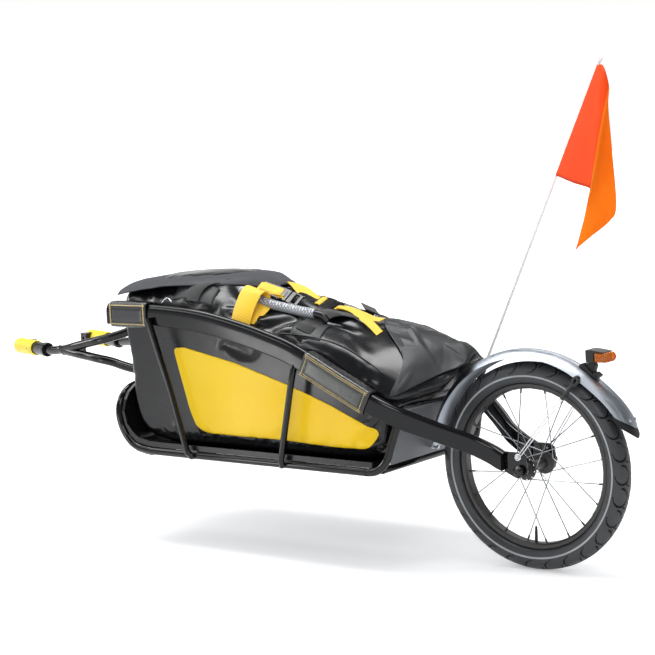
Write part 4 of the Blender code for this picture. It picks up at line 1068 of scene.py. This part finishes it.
def side_panel(side):
    """A sheet welded to the bag's side: its outline filled with columns that lie on the bag."""
    outline = rounded_outline(PANEL)
    inset = 0.0004
    first, last = min(p.x for p in outline) + inset, max(p.x for p in outline) - inset
    columns, rows = 110, 44
    grid = []
    for i in range(columns + 1):
        x = first + (last - first) * i / columns
        cuts = []
        for a, b in zip(outline, outline[1:] + outline[:1]):
            if (a.x - x) * (b.x - x) < 0:
                cuts.append(a.y + (b.y - a.y) * (x - a.x) / (b.x - a.x))
        low, high = min(cuts), max(cuts)
        grid.append([beside_bag(x, low + (high - low) * k / rows, side, 0.0009) for k in range(rows + 1)])
    return grid_skin(grid)


for name, side in SIDES:
    panel = piece(f"side_panel_{name}", side_panel(side), YELLOW_CLOTH, "bag", smooth=180)
    add_modifier(panel, "SOLIDIFY", thickness=0.0008, offset=0)


# Folds of the cover: start, end, half width and height, with valleys below zero.
COVER_FOLDS = (
    ((0.2601, 0.0193, 0.2507), (0.2222, 0.0425, 0.2235), 0.006, 0.0045),
    ((0.2222, 0.0425, 0.2235), (0.1773, 0.0502, 0.1816), 0.006, 0.0055),
    ((0.1773, 0.0502, 0.1816), (0.1794, 0.0372, 0.1972), 0.0045, 0.0035),
    ((0.2181, 0.0345, 0.2265), (0.1742, 0.0442, 0.1867), 0.007, -0.004),
    ((0.3172, 0.0297, 0.2559), (0.2628, 0.026, 0.2474), 0.005, 0.0035),
    ((0.3216, 0.0196, 0.2626), (0.2766, 0.0229, 0.2525), 0.0055, -0.0035),
    ((0.2934, 0.0513, 0.2395), (0.2356, 0.0469, 0.2254), 0.0065, 0.003),
    ((0.2708, 0.0749, 0.2198), (0.2223, 0.0535, 0.2151), 0.0055, 0.0028),
    ((0.2187, 0.1319, 0.1446), (0.2125, 0.0878, 0.1773), 0.006, 0.0055),
    ((0.2187, 0.1319, 0.1446), (0.2313, 0.0972, 0.1855), 0.0055, 0.0045),
    ((0.2401, 0.0833, 0.2007), (0.2187, 0.0923, 0.1796), 0.005, 0.0035),
    ((0.152, 0.005, 0.2234), (0.13, 0.013, 0.1923), 0.006, 0.0035),
    ((0.1853, 0.0174, 0.2256), (0.1591, 0.0468, 0.1781), 0.009, -0.003),
)


def fold_height(points, fold):
    """A sharp ridge along a line, or a valley, on both sides of the bag."""
    start, end, width, height = fold
    total = np.zeros(len(points))
    for _, side in SIDES:
        t, away = near_line(points, start, end, side)
        ends = 0.35 + 0.65 * np.sin(np.pi * t) ** 0.5
        total += height * ends * np.clip(1 - away / (1.6 * width), 0, 1) ** 1.7
    return total


COVER_AROUND, COVER_ALONG, COVER_REAR = 200, 120, 0.13


def gathered(hit, u):
    """How far the cover stands off the bag: its folds fan out from the strap's end and fade as u nears 1."""
    away = hit - at(0.33, 0.02, 0.272)
    reach = away.length
    fan = math.atan2(abs(away.y) + 0.6 * max(-away.z, 0), max(-away.x, 0) + 0.03)
    swell = abs(math.sin(4.2 * fan + 1.1 * math.sin(22 * reach) + (0.9 if away.y < 0 else 0)))
    crest = (1 - (1 - swell) ** 2) * min(reach / 0.06, 1) * (1 - 0.55 * u)
    pucker = 0.5 + 0.5 * noise.noise(hit * 28)
    return 0.0034 + 0.0022 * crest + 0.0015 * pucker * (1 - u)


def rear_cover():
    """The matt cover laced over the bag's rear, cast on the bag from its middle line outwards."""
    on_skin, outwards, lift = [], [], []
    for i in range(COVER_ALONG + 1):
        u = i / COVER_ALONG
        for k in range(COVER_AROUND + 1):
            angle = math.radians(-104 + 208 * k / COVER_AROUND)
            front = 0.334 - 0.108 * abs(math.sin(angle)) ** 1.3
            x = front + (COVER_REAR - front) * u ** 0.92
            centre = at(x, 0, 0.2 - 0.25 * (x - COVER_REAR))
            out = Vector((0, math.sin(angle), math.cos(angle)))
            hit = BAG_SURFACE.ray_cast(centre, out)[0] or centre + out * 0.01
            on_skin.append(hit)
            outwards.append(out)
            lift.append(gathered(hit, u))
    on_skin = np.array(on_skin)
    folded = sum(fold_height(on_skin - np.array(WHEEL), fold) for fold in COVER_FOLDS)
    lift = np.array(lift) + np.maximum(folded, -0.0026)
    grid = (on_skin + np.array(outwards) * lift[:, None]).reshape(COVER_ALONG + 1, COVER_AROUND + 1, 3)
    tip = np.array(at(0.1285, 0, 0.198))
    return grid_skin(relax(np.concatenate((grid, (0.4 * tip + 0.6 * grid[-1])[None])), 1))


cover = piece("rear_cover", rear_cover(), COVER_CLOTH, "bag", smooth=180)
add_modifier(cover, "SOLIDIFY", thickness=0.0016, offset=1)


def cut_at(mesh, x):
    """Where the mesh crosses the plane at x, as points from the wheel's centre."""
    x += WHEEL.x
    cuts = []
    for edge in mesh.edges:
        a, b = (mesh.vertices[i].co for i in edge.vertices)
        if (a.x - x) * (b.x - x) < 0:
            cuts.append(a.lerp(b, (x - a.x) / (b.x - a.x)) - WHEEL)
    return np.array(cuts)


FLAP_FRONT, FLAP_REAR = 0.9175, 0.5795
FLAP_ROWS, FLAP_COLUMNS = 96, 64


def front_flap():
    """The grey flap over the roll closure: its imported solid's top, softened, with a hem along its rim."""
    mesh = cad_mesh("bag_flap")
    tree = surface_of(mesh)
    grid = []
    for i in range(FLAP_ROWS + 1):
        x = FLAP_FRONT - (FLAP_FRONT - FLAP_REAR) * i / FLAP_ROWS
        cuts = cut_at(mesh, x)
        widest = np.abs(cuts[:, 1]).argmax()
        row = []
        for k in range(FLAP_COLUMNS + 1):
            y = abs(cuts[widest, 1]) * 0.998 * math.sin(math.radians(-90 + 180 * k / FLAP_COLUMNS))
            hit = tree.ray_cast(at(x, y, 0.5), Vector((0, 0, -1)))[0]
            row.append(hit or at(x, y, cuts[widest, 2]))
        grid.append(row)
    grid = relax(grid, 10)
    for i, row in enumerate(grid):
        for k, point in enumerate(row):
            rim = min(i, FLAP_ROWS - i, k, FLAP_COLUMNS - k)
            sag = 0.0016 * noise.noise(Vector(point) * 14) + 0.0007 * noise.noise(Vector(point) * 45)
            point[2] += sag - 0.0012 + (0.001 if rim in (2, 3) else 0)
    return grid_skin(grid)


flap = piece("flap_cloth", front_flap(), FLAP_CLOTH, "bag", "bag_flap", smooth=180)
add_modifier(flap, "SOLIDIFY", thickness=0.0022, offset=-1)


# Straps, buckles and grip

STITCH, STITCH_GAP = 0.0034, 0.0011


def stitches(path, normals, radius):
    """Thread dashes along a path, each sunk at both ends."""
    shapes, walked = [], 0.0
    for a, b, up in zip(path, path[1:], normals):
        span = (b - a).length
        sink = up * 0.0003
        while walked < span:
            start = a.lerp(b, walked / span)
            stop = start + (b - a).normalized() * min(STITCH, span)
            middle = (start + stop) / 2 + up * radius * 1.6
            shapes.append(tube([start - sink, start.lerp(middle, 0.6), middle, stop.lerp(middle, 0.6),
                                stop - sink], radius, 6))
            walked += STITCH + STITCH_GAP
        walked -= span
    return join(shapes)


def along_bag(start, stop, across):
    """A matrix with X from start to stop, Y across and Z away from the bag."""
    x = (Vector(stop) - Vector(start)).normalized()
    z = x.cross(Vector(across)).normalized()
    z = -z if z.z < 0 else z
    y = z.cross(x)
    to = Matrix((x, y, z)).transposed().to_4x4()
    to.translation = start
    return to


def side_release_buckle(name, to, length, width):
    """A socket half, a tongue half with its two sprung prongs, and bars for the webbing at each end."""
    half = width / 2
    # Each block's start and end along the buckle, its edges across, both as shares, and its floor and top.
    socket = [(0.3, 0.68, -1, 1, -0.001, 0.0062), (0.34, 0.62, -0.55, 0.55, 0.0058, 0.0072)]
    tongue = [(0.7, 0.8, -1, 1, 0.0, 0.0055)]
    prongs = [(0.42, 0.6, 0.76, 1.1, 0.0008, 0.0048)]
    side_bars = [(0, 0.31, 0.8, 1, 0.0004, 0.0046), (0.79, 1, 0.8, 1, 0.0004, 0.0046)]
    webbing_bars = [(x, x + 0.07, -1, 1, 0.0004, 0.0046) for x in (0.0, 0.16, 0.9)]
    pairs = [(start, stop, side * a, side * b, floor, top)
             for side in (-1, 1) for start, stop, a, b, floor, top in prongs + side_bars]
    shapes = [block(to, (length * start, half * min(a, b), floor), (length * stop, half * max(a, b), top))
              for start, stop, a, b, floor, top in socket + tongue + pairs + webbing_bars]
    ease_edges(piece(f"{name}_shell", join(shapes), BLACK_PLASTIC, "bag", name), 0.0011)


def strap(name, path, across, width, thick, stands_for=None, steps=8):
    """A run of the yellow webbing on the bag."""
    piece(name, ribbon(path, across, width, thick, steps), YELLOW_WEBBING, "bag", stands_for)


def patch_on_bag(corners, above):
    """A flat patch welded to the bag between four (x, y) corners."""
    a, b, c, d = (Vector(p) for p in corners)
    rows = 14
    grid = []
    for i in range(rows + 1):
        left, right = a.lerp(d, i / rows), b.lerp(c, i / rows)
        grid.append([on_bag(*left.lerp(right, k / rows), above) for k in range(rows + 1)])
    return grid_skin(relax(grid, 3))


# Carry grip: a woven tube over a core, with a moulded knob at its front end.
grip_path = smooth_path([at(*p) for p in (
    (0.6157, 0.1, 0.3314), (0.59, 0.096, 0.3195), (0.5494, 0.0925, 0.3046), (0.5163, 0.092, 0.2985),
    (0.4785, 0.0915, 0.2925), (0.44, 0.0905, 0.2878), (0.423, 0.088, 0.283), (0.413, 0.085, 0.273))],
    10)
piece("grip_sleeve", tube(grip_path[3:51], 0.0096, 32), GRIP_WEAVE, "bag", "handle_grip", smooth=60)
piece("grip_core", tube(grip_path[48:], 0.0084, 24), BLACK_PLASTIC, "bag")
piece("grip_knob", turned(grip_path[0], grip_path[0] - grip_path[3], (
    (-0.006, 0.0071), (0.001, 0.0082), (0.004, 0.008), (0.0068, 0.0062), (0.0082, 0.003)), 40),
    KNOB_GREY, "bag")

# The wide strap comes up beside the rail, turns over the grip and goes back down inside.
strap("wide_strap", [at(*p) for p in (
    (0.588, 0.148, 0.24), (0.588, 0.1478, 0.262), (0.5865, 0.144, 0.28), (0.584, 0.134, 0.303),
    (0.581, 0.121, 0.3245), (0.579, 0.112, 0.3335), (0.5775, 0.1035, 0.3362), (0.5755, 0.0955, 0.333),
    (0.5735, 0.0925, 0.325))], (1, 0.05, 0.27), 0.047, 0.0022, "strap_wide")
strap("wide_strap_inner", [at(*p) for p in (
    (0.5735, 0.0925, 0.325), (0.57, 0.094, 0.313), (0.568, 0.101, 0.302), (0.57, 0.114, 0.292),
    (0.576, 0.128, 0.283), (0.582, 0.138, 0.273))], (1, 0.1, 0.27), 0.042, 0.0022)
strap("wide_strap_tongue", [at(*p) for p in (
    (0.564, 0.098, 0.33), (0.556, 0.086, 0.326), (0.547, 0.075, 0.3215), (0.538, 0.066, 0.3165),
    (0.53, 0.058, 0.312))],
    [(1, 0, 0.27), (1, 0.35, 0.27), (0.8, 0.7, 0.2), (0.6, 0.9, 0.1), (0.5, 1, 0.05)], 0.026, 0.0018)
buckle_at = along_bag(at(0.596, 0.062, 0.335), at(0.499, 0.054, 0.303), (0.1, 0.8, -0.6))
side_release_buckle("buckle_wide", buckle_at, 0.1, 0.03)
strap("buckle_wide_webbing", [buckle_at @ Vector(p) for p in (
    (-0.006, 0, 0.0022), (0.004, 0, 0.0062), (0.016, 0, 0.0072), (0.03, 0, 0.0078), (0.046, 0, 0.0082),
    (0.052, 0, 0.007))], buckle_at.to_3x3() @ Vector((0, 1, 0)), 0.02, 0.0016, steps=6)

# The long strap: a soft fold out of the flap, a buckle, the run to the cover and its folded tail.
strap("long_strap", [at(*p) for p in (
    (0.576, -0.014, 0.337), (0.561, -0.01, 0.331), (0.542, -0.003, 0.323), (0.521, 0.006, 0.3135),
    (0.5, 0.013, 0.306), (0.482, 0.016, 0.301))],
    [(0.1, 1, 0.2), (0.15, 1, 0), (0.22, 1, -0.3), (0.3, 1, -0.55), (0.15, 1, -0.45), (0.05, 1, -0.3)],
    0.03, 0.0019, "strap_long", steps=10)
buckle_at = along_bag(at(0.49, 0.015, 0.303), at(0.434, 0.018, 0.2875), (0, 0.88, -0.45))
side_release_buckle("buckle_long", buckle_at, 0.058, 0.036)
strap("buckle_long_webbing", [buckle_at @ Vector(p) for p in (
    (0.0, 0, 0.002), (0.007, 0, 0.0058), (0.014, 0, 0.0064), (0.019, 0, 0.003))],
    buckle_at.to_3x3() @ Vector((0, 1, 0)), 0.027, 0.0016, steps=6)
strap("long_strap_run", [at(0.44, 0.017, 0.2925)] + [on_bag(x, y, 0.005) for x, y in (
    (0.42, 0.012), (0.39, 0.006), (0.362, 0.004), (0.338, 0.004))], (0, 1, -0.2), 0.022, 0.0019)
strap("long_strap_tail", [at(*p) for p in (
    (0.436, 0.018, 0.2945), (0.4007, 0.02, 0.2884), (0.3698, 0.03, 0.2765), (0.3376, 0.042, 0.2625),
    (0.3124, 0.052, 0.248))],
    [(0, 1, -0.1), (0.2, 1, -0.3), (0.45, 1, -0.5), (0.5, 1, -0.6), (0.5, 1, -0.6)], 0.016, 0.0018)

# Black haul loops: on each side one near the front and one near the rear, sewn to a welded patch.
# A loop's point with no height lies on the bag; the patch is given by its (x, y) corners.
REAR_LOOP = (
    (0.444, 0.128, 0), (0.442, 0.116, 0), (0.44, 0.104, 0.269), (0.435, 0.088, 0.2795),
    (0.426, 0.071, 0.286), (0.414, 0.056, 0.287), (0.399, 0.043, 0.282), (0.385, 0.033, 0),
)
REAR_PATCH = ((0.476, 0.09), (0.404, 0.09), (0.398, 0.136), (0.47, 0.137))
FRONT_LOOP = (
    (0.72, 0.143, 0), (0.719, 0.133, 0), (0.714, 0.12, 0.34), (0.706, 0.104, 0.346),
    (0.696, 0.088, 0.346), (0.688, 0.076, 0),
)
FRONT_PATCH = ((0.772, 0.108), (0.672, 0.104), (0.668, 0.14), (0.77, 0.1435))
# A wire loop at the bag's front, and the welt along the bag's upper edge.
WIRE_LOOP = ((0.8, 0.147, 0.299), (0.795, 0.1462, 0.3085), (0.784, 0.144, 0.3165),
             (0.772, 0.145, 0.3095), (0.764, 0.147, 0.299))
WELT = ((0.6, 0.144), (0.537, 0.1417), (0.471, 0.137), (0.405, 0.133), (0.344, 0.129), (0.288, 0.125),
        (0.255, 0.126))
for name, side in SIDES:
    for label, loop, corners, slope in (
        ("rear", REAR_LOOP, REAR_PATCH, 0.34), ("front", FRONT_LOOP, FRONT_PATCH, 0.06),
    ):
        patch = patch_on_bag([(x, side * y) for x, y in corners], 0.0012)
        patch = piece(f"loop_patch_{label}_{name}", patch, COVER_CLOTH, "bag", smooth=180)
        add_modifier(patch, "SOLIDIFY", thickness=0.0012, offset=0)
        route = [at(x, side * y, z) if z else on_bag(x, side * y, 0.0042) for x, y, z in loop]
        piece(f"haul_loop_{label}_{name}", ribbon(route, (1, 0, slope), 0.038, 0.0019, 8), BLACK_WEBBING,
              "bag")
    rivet = turned(at(0.379, side * 0.03, 0.2715), (0.1, side * 0.5, 1), (
        (-0.002, 0.0042), (0.0006, 0.0042), (0.0016, 0.003), (0.002, 0.0012)), 24)
    piece(f"loop_rivet_{name}", rivet, CHROME_STEEL, "bag")
    wire = smooth_path([at(x, side * y, z) for x, y, z in WIRE_LOOP], 6)
    piece(f"wire_loop_{name}", tube(wire, 0.0012, 10), CHROME_STEEL, "bag")
    welt = smooth_path([on_bag(x, side * y, 0.0008) for x, y in WELT], 8)
    piece(f"side_welt_{name}", tube(welt, 0.0017, 10), TARPAULIN, "bag")


# Padded wraps sewn round the rails

WRAP_STEPS, WRAP_THICK, WRAP_GAP = 40, 0.0046, 0.0012


def rail_section(mesh, x):
    """The rail at x: its middle, the directions across and up, and its half height."""
    before, here, after = (cut_at(mesh, x + step) for step in (-0.004, 0, 0.004))
    centres = [(cuts.min(axis=0) + cuts.max(axis=0)) / 2 for cuts in (before, here, after)]
    along = Vector(centres[2] - centres[0]).normalized()
    across = Vector((-along.y, along.x, 0)).normalized()
    half = (here[:, 2].max() - here[:, 2].min()) / 2 * along.x
    return WHEEL + Vector(centres[1]), across, along.cross(across), half


def round_rail(section, away, corner):
    """A ring that stands this far off the rail all round, with rounded corners."""
    centre, across, up, half = section
    return rounded_section(centre, across, up, RAIL_WIDTH / 2 + away, half + away, [(corner, corner)] * 4, 8)


def rail_wrap(label, name, side, ends, face_leather, rows, thread):
    """A leather sleeve with a raised outer face and rows of gold stitching along its seams."""
    mesh = cad_mesh(f"top_rail_{name}")
    sections = [rail_section(mesh, ends[0] + (ends[1] - ends[0]) * i / WRAP_STEPS)
                for i in range(WRAP_STEPS + 1)]
    outer = []
    for i, section in enumerate(sections):
        puff = 0.0006 * math.sin(math.pi * i / WRAP_STEPS) ** 0.5 + 0.0003 * math.sin(i * 1.7)
        turned_in = 0.001 * (i in (0, WRAP_STEPS))
        outer.append(round_rail(section, WRAP_THICK - turned_in + puff, 0.0085))
    inner = [round_rail(section, WRAP_GAP, 0.006) for section in reversed(sections)]
    piece(f"wrap_{label}_{name}_sleeve", loft(outer + inner, closed=True), WRAP_DARK, "frame",
                    f"wrap_{label}_{name}", smooth=50)

    def on_face(i, share, above):
        """A point over the outer face at section i, this share of its half height up."""
        centre, across, up, half = sections[i]
        away = RAIL_WIDTH / 2 + WRAP_THICK + above
        return centre + across * (side * away) + up * (share * (half + WRAP_THICK))

    grid = []
    for i in range(3, WRAP_STEPS - 2):
        row = []
        for k in range(15):
            rim = min(i - 3, WRAP_STEPS - 3 - i, k, 14 - k)
            row.append(on_face(i, -0.6 + 1.2 * k / 14, 0.0006 + 0.0012 * min(rim / 3, 1) ** 0.5))
        grid.append(row)
    face = piece(f"wrap_{label}_{name}_face", grid_skin(grid), face_leather, "frame",
                 smooth=60)
    add_modifier(face, "SOLIDIFY", thickness=0.0014, offset=-1)
    outwards = [section[1] * side for section in sections]
    seams = []
    for share in rows:
        seam = [on_face(i, share, 0.0004) for i in range(1, WRAP_STEPS)]
        seams.append(stitches(seam, outwards[1:-2], thread))
    for i in (2, WRAP_STEPS - 2):
        seam = [on_face(i, -0.78 + 1.56 * k / 12, 0.0004) for k in range(13)]
        seams.append(stitches(seam, [outwards[i]] * 12, thread))
    piece(f"wrap_{label}_{name}_stitching", join(seams), GOLD_THREAD, "frame")


# Each wrap's ends on the rail, its face, the shares of the height with a row of stitches, and the thread.
for name, side in SIDES:
    # The rear wraps' grey face is a painted reflection on black leather.
    rail_wrap("rear", name, side, (0.264, 0.412), WRAP_SHEEN_GREY, (-0.84, -0.7, 0.7, 0.84), 0.0007)
    rail_wrap("front", name, side, (0.815, 0.918), WRAP_GLOSS, (-0.74, 0.74), 0.0011)


# Flag: a pennant whose free half has folded back over itself

def beside_pole(z):
    """The point on the pole's near side at a height above the wheel's centre."""
    return (0.1854 - 0.4674 * (z - 0.1903), -0.1462, z)


# The cloth's two long edges from the pole to the tip: out, round the fold and back down.
UPPER_EDGE = (
    beside_pole(0.75), (-0.102, -0.123, 0.746), (-0.115, -0.118, 0.709), (-0.114, -0.115, 0.673),
    (-0.117, -0.12, 0.589), (-0.115, -0.135, 0.485), (-0.098, -0.14, 0.455), (-0.06, -0.135, 0.426),
    (-0.029, -0.13, 0.402),
)
LOWER_EDGE = (
    beside_pole(0.543), (-0.043, -0.1, 0.53), (-0.102, -0.06, 0.52), (-0.089, -0.075, 0.504),
    (-0.076, -0.09, 0.485), (-0.061, -0.105, 0.459), (-0.044, -0.118, 0.429), (-0.036, -0.124, 0.414),
    (-0.028, -0.1295, 0.4005),
)
FLAG_STEPS, FLAG_ROWS = 8, 28


def flag_cloth():
    """The cloth between its two edges, waved where it is free of the pole."""
    upper, lower = smooth_path(UPPER_EDGE, FLAG_STEPS), smooth_path(LOWER_EDGE, FLAG_STEPS)
    grid = []
    for i, (top, bottom) in enumerate(zip(upper, lower)):
        after, before = min(i + 1, len(upper) - 1), max(i - 1, 0)
        run = (upper[after] + lower[after] - upper[before] - lower[before]).normalized()
        out = run.cross(top - bottom).normalized()
        free = min(i / (3 * FLAG_STEPS), 1)
        row = []
        for k in range(FLAG_ROWS + 1):
            t = k / FLAG_ROWS
            wave = 0.0055 * math.sin(math.pi * free) * math.sin(math.pi * t)
            ripple = 0.0012 * math.sin(9 * t + 0.35 * i) * math.sin(math.pi * t) * free
            row.append(WHEEL + top.lerp(bottom, t) + out * (wave + ripple))
        grid.append(row)
    return grid_skin(grid)


flag = piece("flag_cloth", flag_cloth(), [FLAG_ORANGE, FLAG_AMBER], "flagpole", "flag", smooth=180)
for face in flag.data.polygons:
    # Past the fold the light comes through two layers.
    face.material_index = int(face.index // FLAG_ROWS >= 2 * FLAG_STEPS)
add_modifier(flag, "SOLIDIFY", thickness=0.0006, offset=0)


# Camera, light and floor

def build_camera():
    """The photograph's viewpoint, 3.4 m from the wheel and 37 degrees round from a side view."""
    turn, pitch, roll = math.radians(37.04), math.radians(6.54), math.radians(2.54)
    level = Vector((-math.cos(turn), -math.sin(turn), 0))
    ahead = Vector((math.sin(turn) * math.cos(pitch), -math.cos(turn) * math.cos(pitch), -math.sin(pitch)))
    down = ahead.cross(level)
    right = level * math.cos(roll) + down * math.sin(roll)
    down = down * math.cos(roll) - level * math.sin(roll)
    data = bpy.data.cameras.new("camera")
    data.lens, data.sensor_width = 98.93, 36
    camera = bpy.data.objects.new("camera", data)
    stand = Matrix((right, -down, -ahead)).transposed().to_4x4()
    stand.translation = at(-1.722, 2.917, 0.667)
    camera.matrix_world = stand
    bpy.context.scene.collection.objects.link(camera)
    bpy.context.scene.camera = camera


def soft_box(name, place_at, towards, size, power, mirrored_only=False):
    """An area light; one that is only mirrored draws highlights and lights nothing."""
    data = bpy.data.lights.new(name, "AREA")
    data.shape, data.size, data.size_y, data.energy = "RECTANGLE", size[0], size[1], power
    light = bpy.data.objects.new(name, data)
    light.location = place_at
    light.rotation_euler = (Vector(towards) - Vector(place_at)).to_track_quat("-Z", "Y").to_euler()
    light.visible_diffuse = not mirrored_only
    bpy.context.scene.collection.objects.link(light)


def build_world():
    """Soft light from all round; the camera sees white, and gloss a room."""
    world = bpy.context.scene.world or bpy.data.worlds.new("studio")
    bpy.context.scene.world = world
    world.use_nodes = True
    tree = world.node_tree
    tree.nodes.clear()
    rays = add_node(tree, "ShaderNodeLightPath").outputs
    seen = add_node(tree, "ShaderNodeMath", {
        0: rays["Is Camera Ray"], 1: rays["Is Transmission Ray"]}, operation="MAXIMUM")
    fill = add_node(tree, "ShaderNodeBackground", {"Color": srgb("#F4F6FA"), "Strength": 0.7})
    white = add_node(tree, "ShaderNodeBackground", {"Color": (1, 1, 1, 1), "Strength": 1.0})
    # Gloss mirrors the white backdrop that the camera sees, and above it a dim ceiling.
    towards = add_node(tree, "ShaderNodeTexCoord").outputs["Generated"]
    height = add_node(tree, "ShaderNodeSeparateXYZ", {0: towards}).outputs["Z"]
    room = add_node(tree, "ShaderNodeBackground", {
        "Color": (1, 1, 1, 1), "Strength": spread(tree, height, 1.0, 0.22, 0.1, 0.4)})
    unseen = add_node(tree, "ShaderNodeMixShader", {
        0: rays["Is Glossy Ray"], 1: fill.outputs[0], 2: room.outputs[0]})
    both = add_node(tree, "ShaderNodeMixShader", {
        0: seen.outputs[0], 1: unseen.outputs[0], 2: white.outputs[0]})
    add_node(tree, "ShaderNodeOutputWorld", {"Surface": both.outputs[0]})


def build_lights():
    """Four soft boxes that light the trailer, and four panels that only draw highlights on its tubes."""
    middle = (-0.75, 0.1, 0.0)
    soft_box("overhead", (-0.5, 0.25, 2.3), (-0.5, 0.2, 0), (2.6, 0.7), 54)
    soft_box("camera_side", (-2.4, 2.8, 1.9), middle, (1.1, 1.1), 26)
    soft_box("front", (1.9, 1.3, 1.5), middle, (0.6, 1.4), 15)
    soft_box("far_side", (-0.6, -2.3, 1.9), middle, (2.4, 0.5), 18)
    soft_box("sky_panel", (0.35, 0.45, 1.75), (0.35, 0.4, 0), (4.2, 1.0), 44, True)
    soft_box("rail_panel", (0.7, 1.95, 1.5), (-0.6, 0.27, 0.1), (1.6, 0.4), 9, True)
    soft_box("yoke_panel", (1.97, 0.85, 0.92), (0, 0.1, 0), (0.9, 0.42), 11, True)
    soft_box("hoop_strip", (-0.03, 1.34, -0.18), (-0.62, 0.3, -0.1), (0.24, 0.36), 2, True)


def painted_floor():
    """Matt white paint, which the camera and gloss see turn to plain white further out."""
    material, tree, shader = new_material("painted studio floor", "#F2F2F2", 0.8)
    rays = add_node(tree, "ShaderNodeLightPath").outputs
    far = add_node(tree, "ShaderNodeVectorMath", {0: place(tree)}, operation="LENGTH").outputs["Value"]
    whiter = spread(tree, far, 0.3, 1.0, 1.2, 4.5)
    seen = add_node(tree, "ShaderNodeMath", {
        0: rays["Is Camera Ray"], 1: rays["Is Glossy Ray"]}, operation="MAXIMUM")
    seen = add_node(tree, "ShaderNodeMath", {
        0: seen.outputs[0], 1: rays["Is Transmission Ray"]}, operation="MAXIMUM")
    glow = add_node(tree, "ShaderNodeMath", {0: seen.outputs[0], 1: whiter}, operation="MULTIPLY")
    relief(tree, shader, [(grain(tree, 4), 0.02)])
    light = add_node(tree, "ShaderNodeEmission", {"Color": (1, 1, 1, 1), "Strength": glow.outputs[0]})
    both = add_node(tree, "ShaderNodeAddShader", {0: shader.outputs[0], 1: light.outputs[0]})
    tree.links.new(both.outputs[0], tree.nodes["Material Output"].inputs["Surface"])
    return material


def build_floor():
    """A floor that reaches 30 m to each side of the trailer."""
    corners = [(x, y, 0) for x, y in ((-30, -30), (30, -30), (30, 30), (-30, 30))]
    mesh = bpy.data.meshes.new("floor")
    mesh.from_pydata(corners, [], [(0, 1, 2, 3)])
    mesh.materials.append(painted_floor())
    floor = bpy.data.objects.new("floor", mesh)
    floor.location = (-0.8, 0.1, GROUND)
    bpy.context.scene.collection.objects.link(floor)


build_camera()
build_world()
build_lights()
build_floor()
bpy.context.scene.view_settings.view_transform = "Standard"
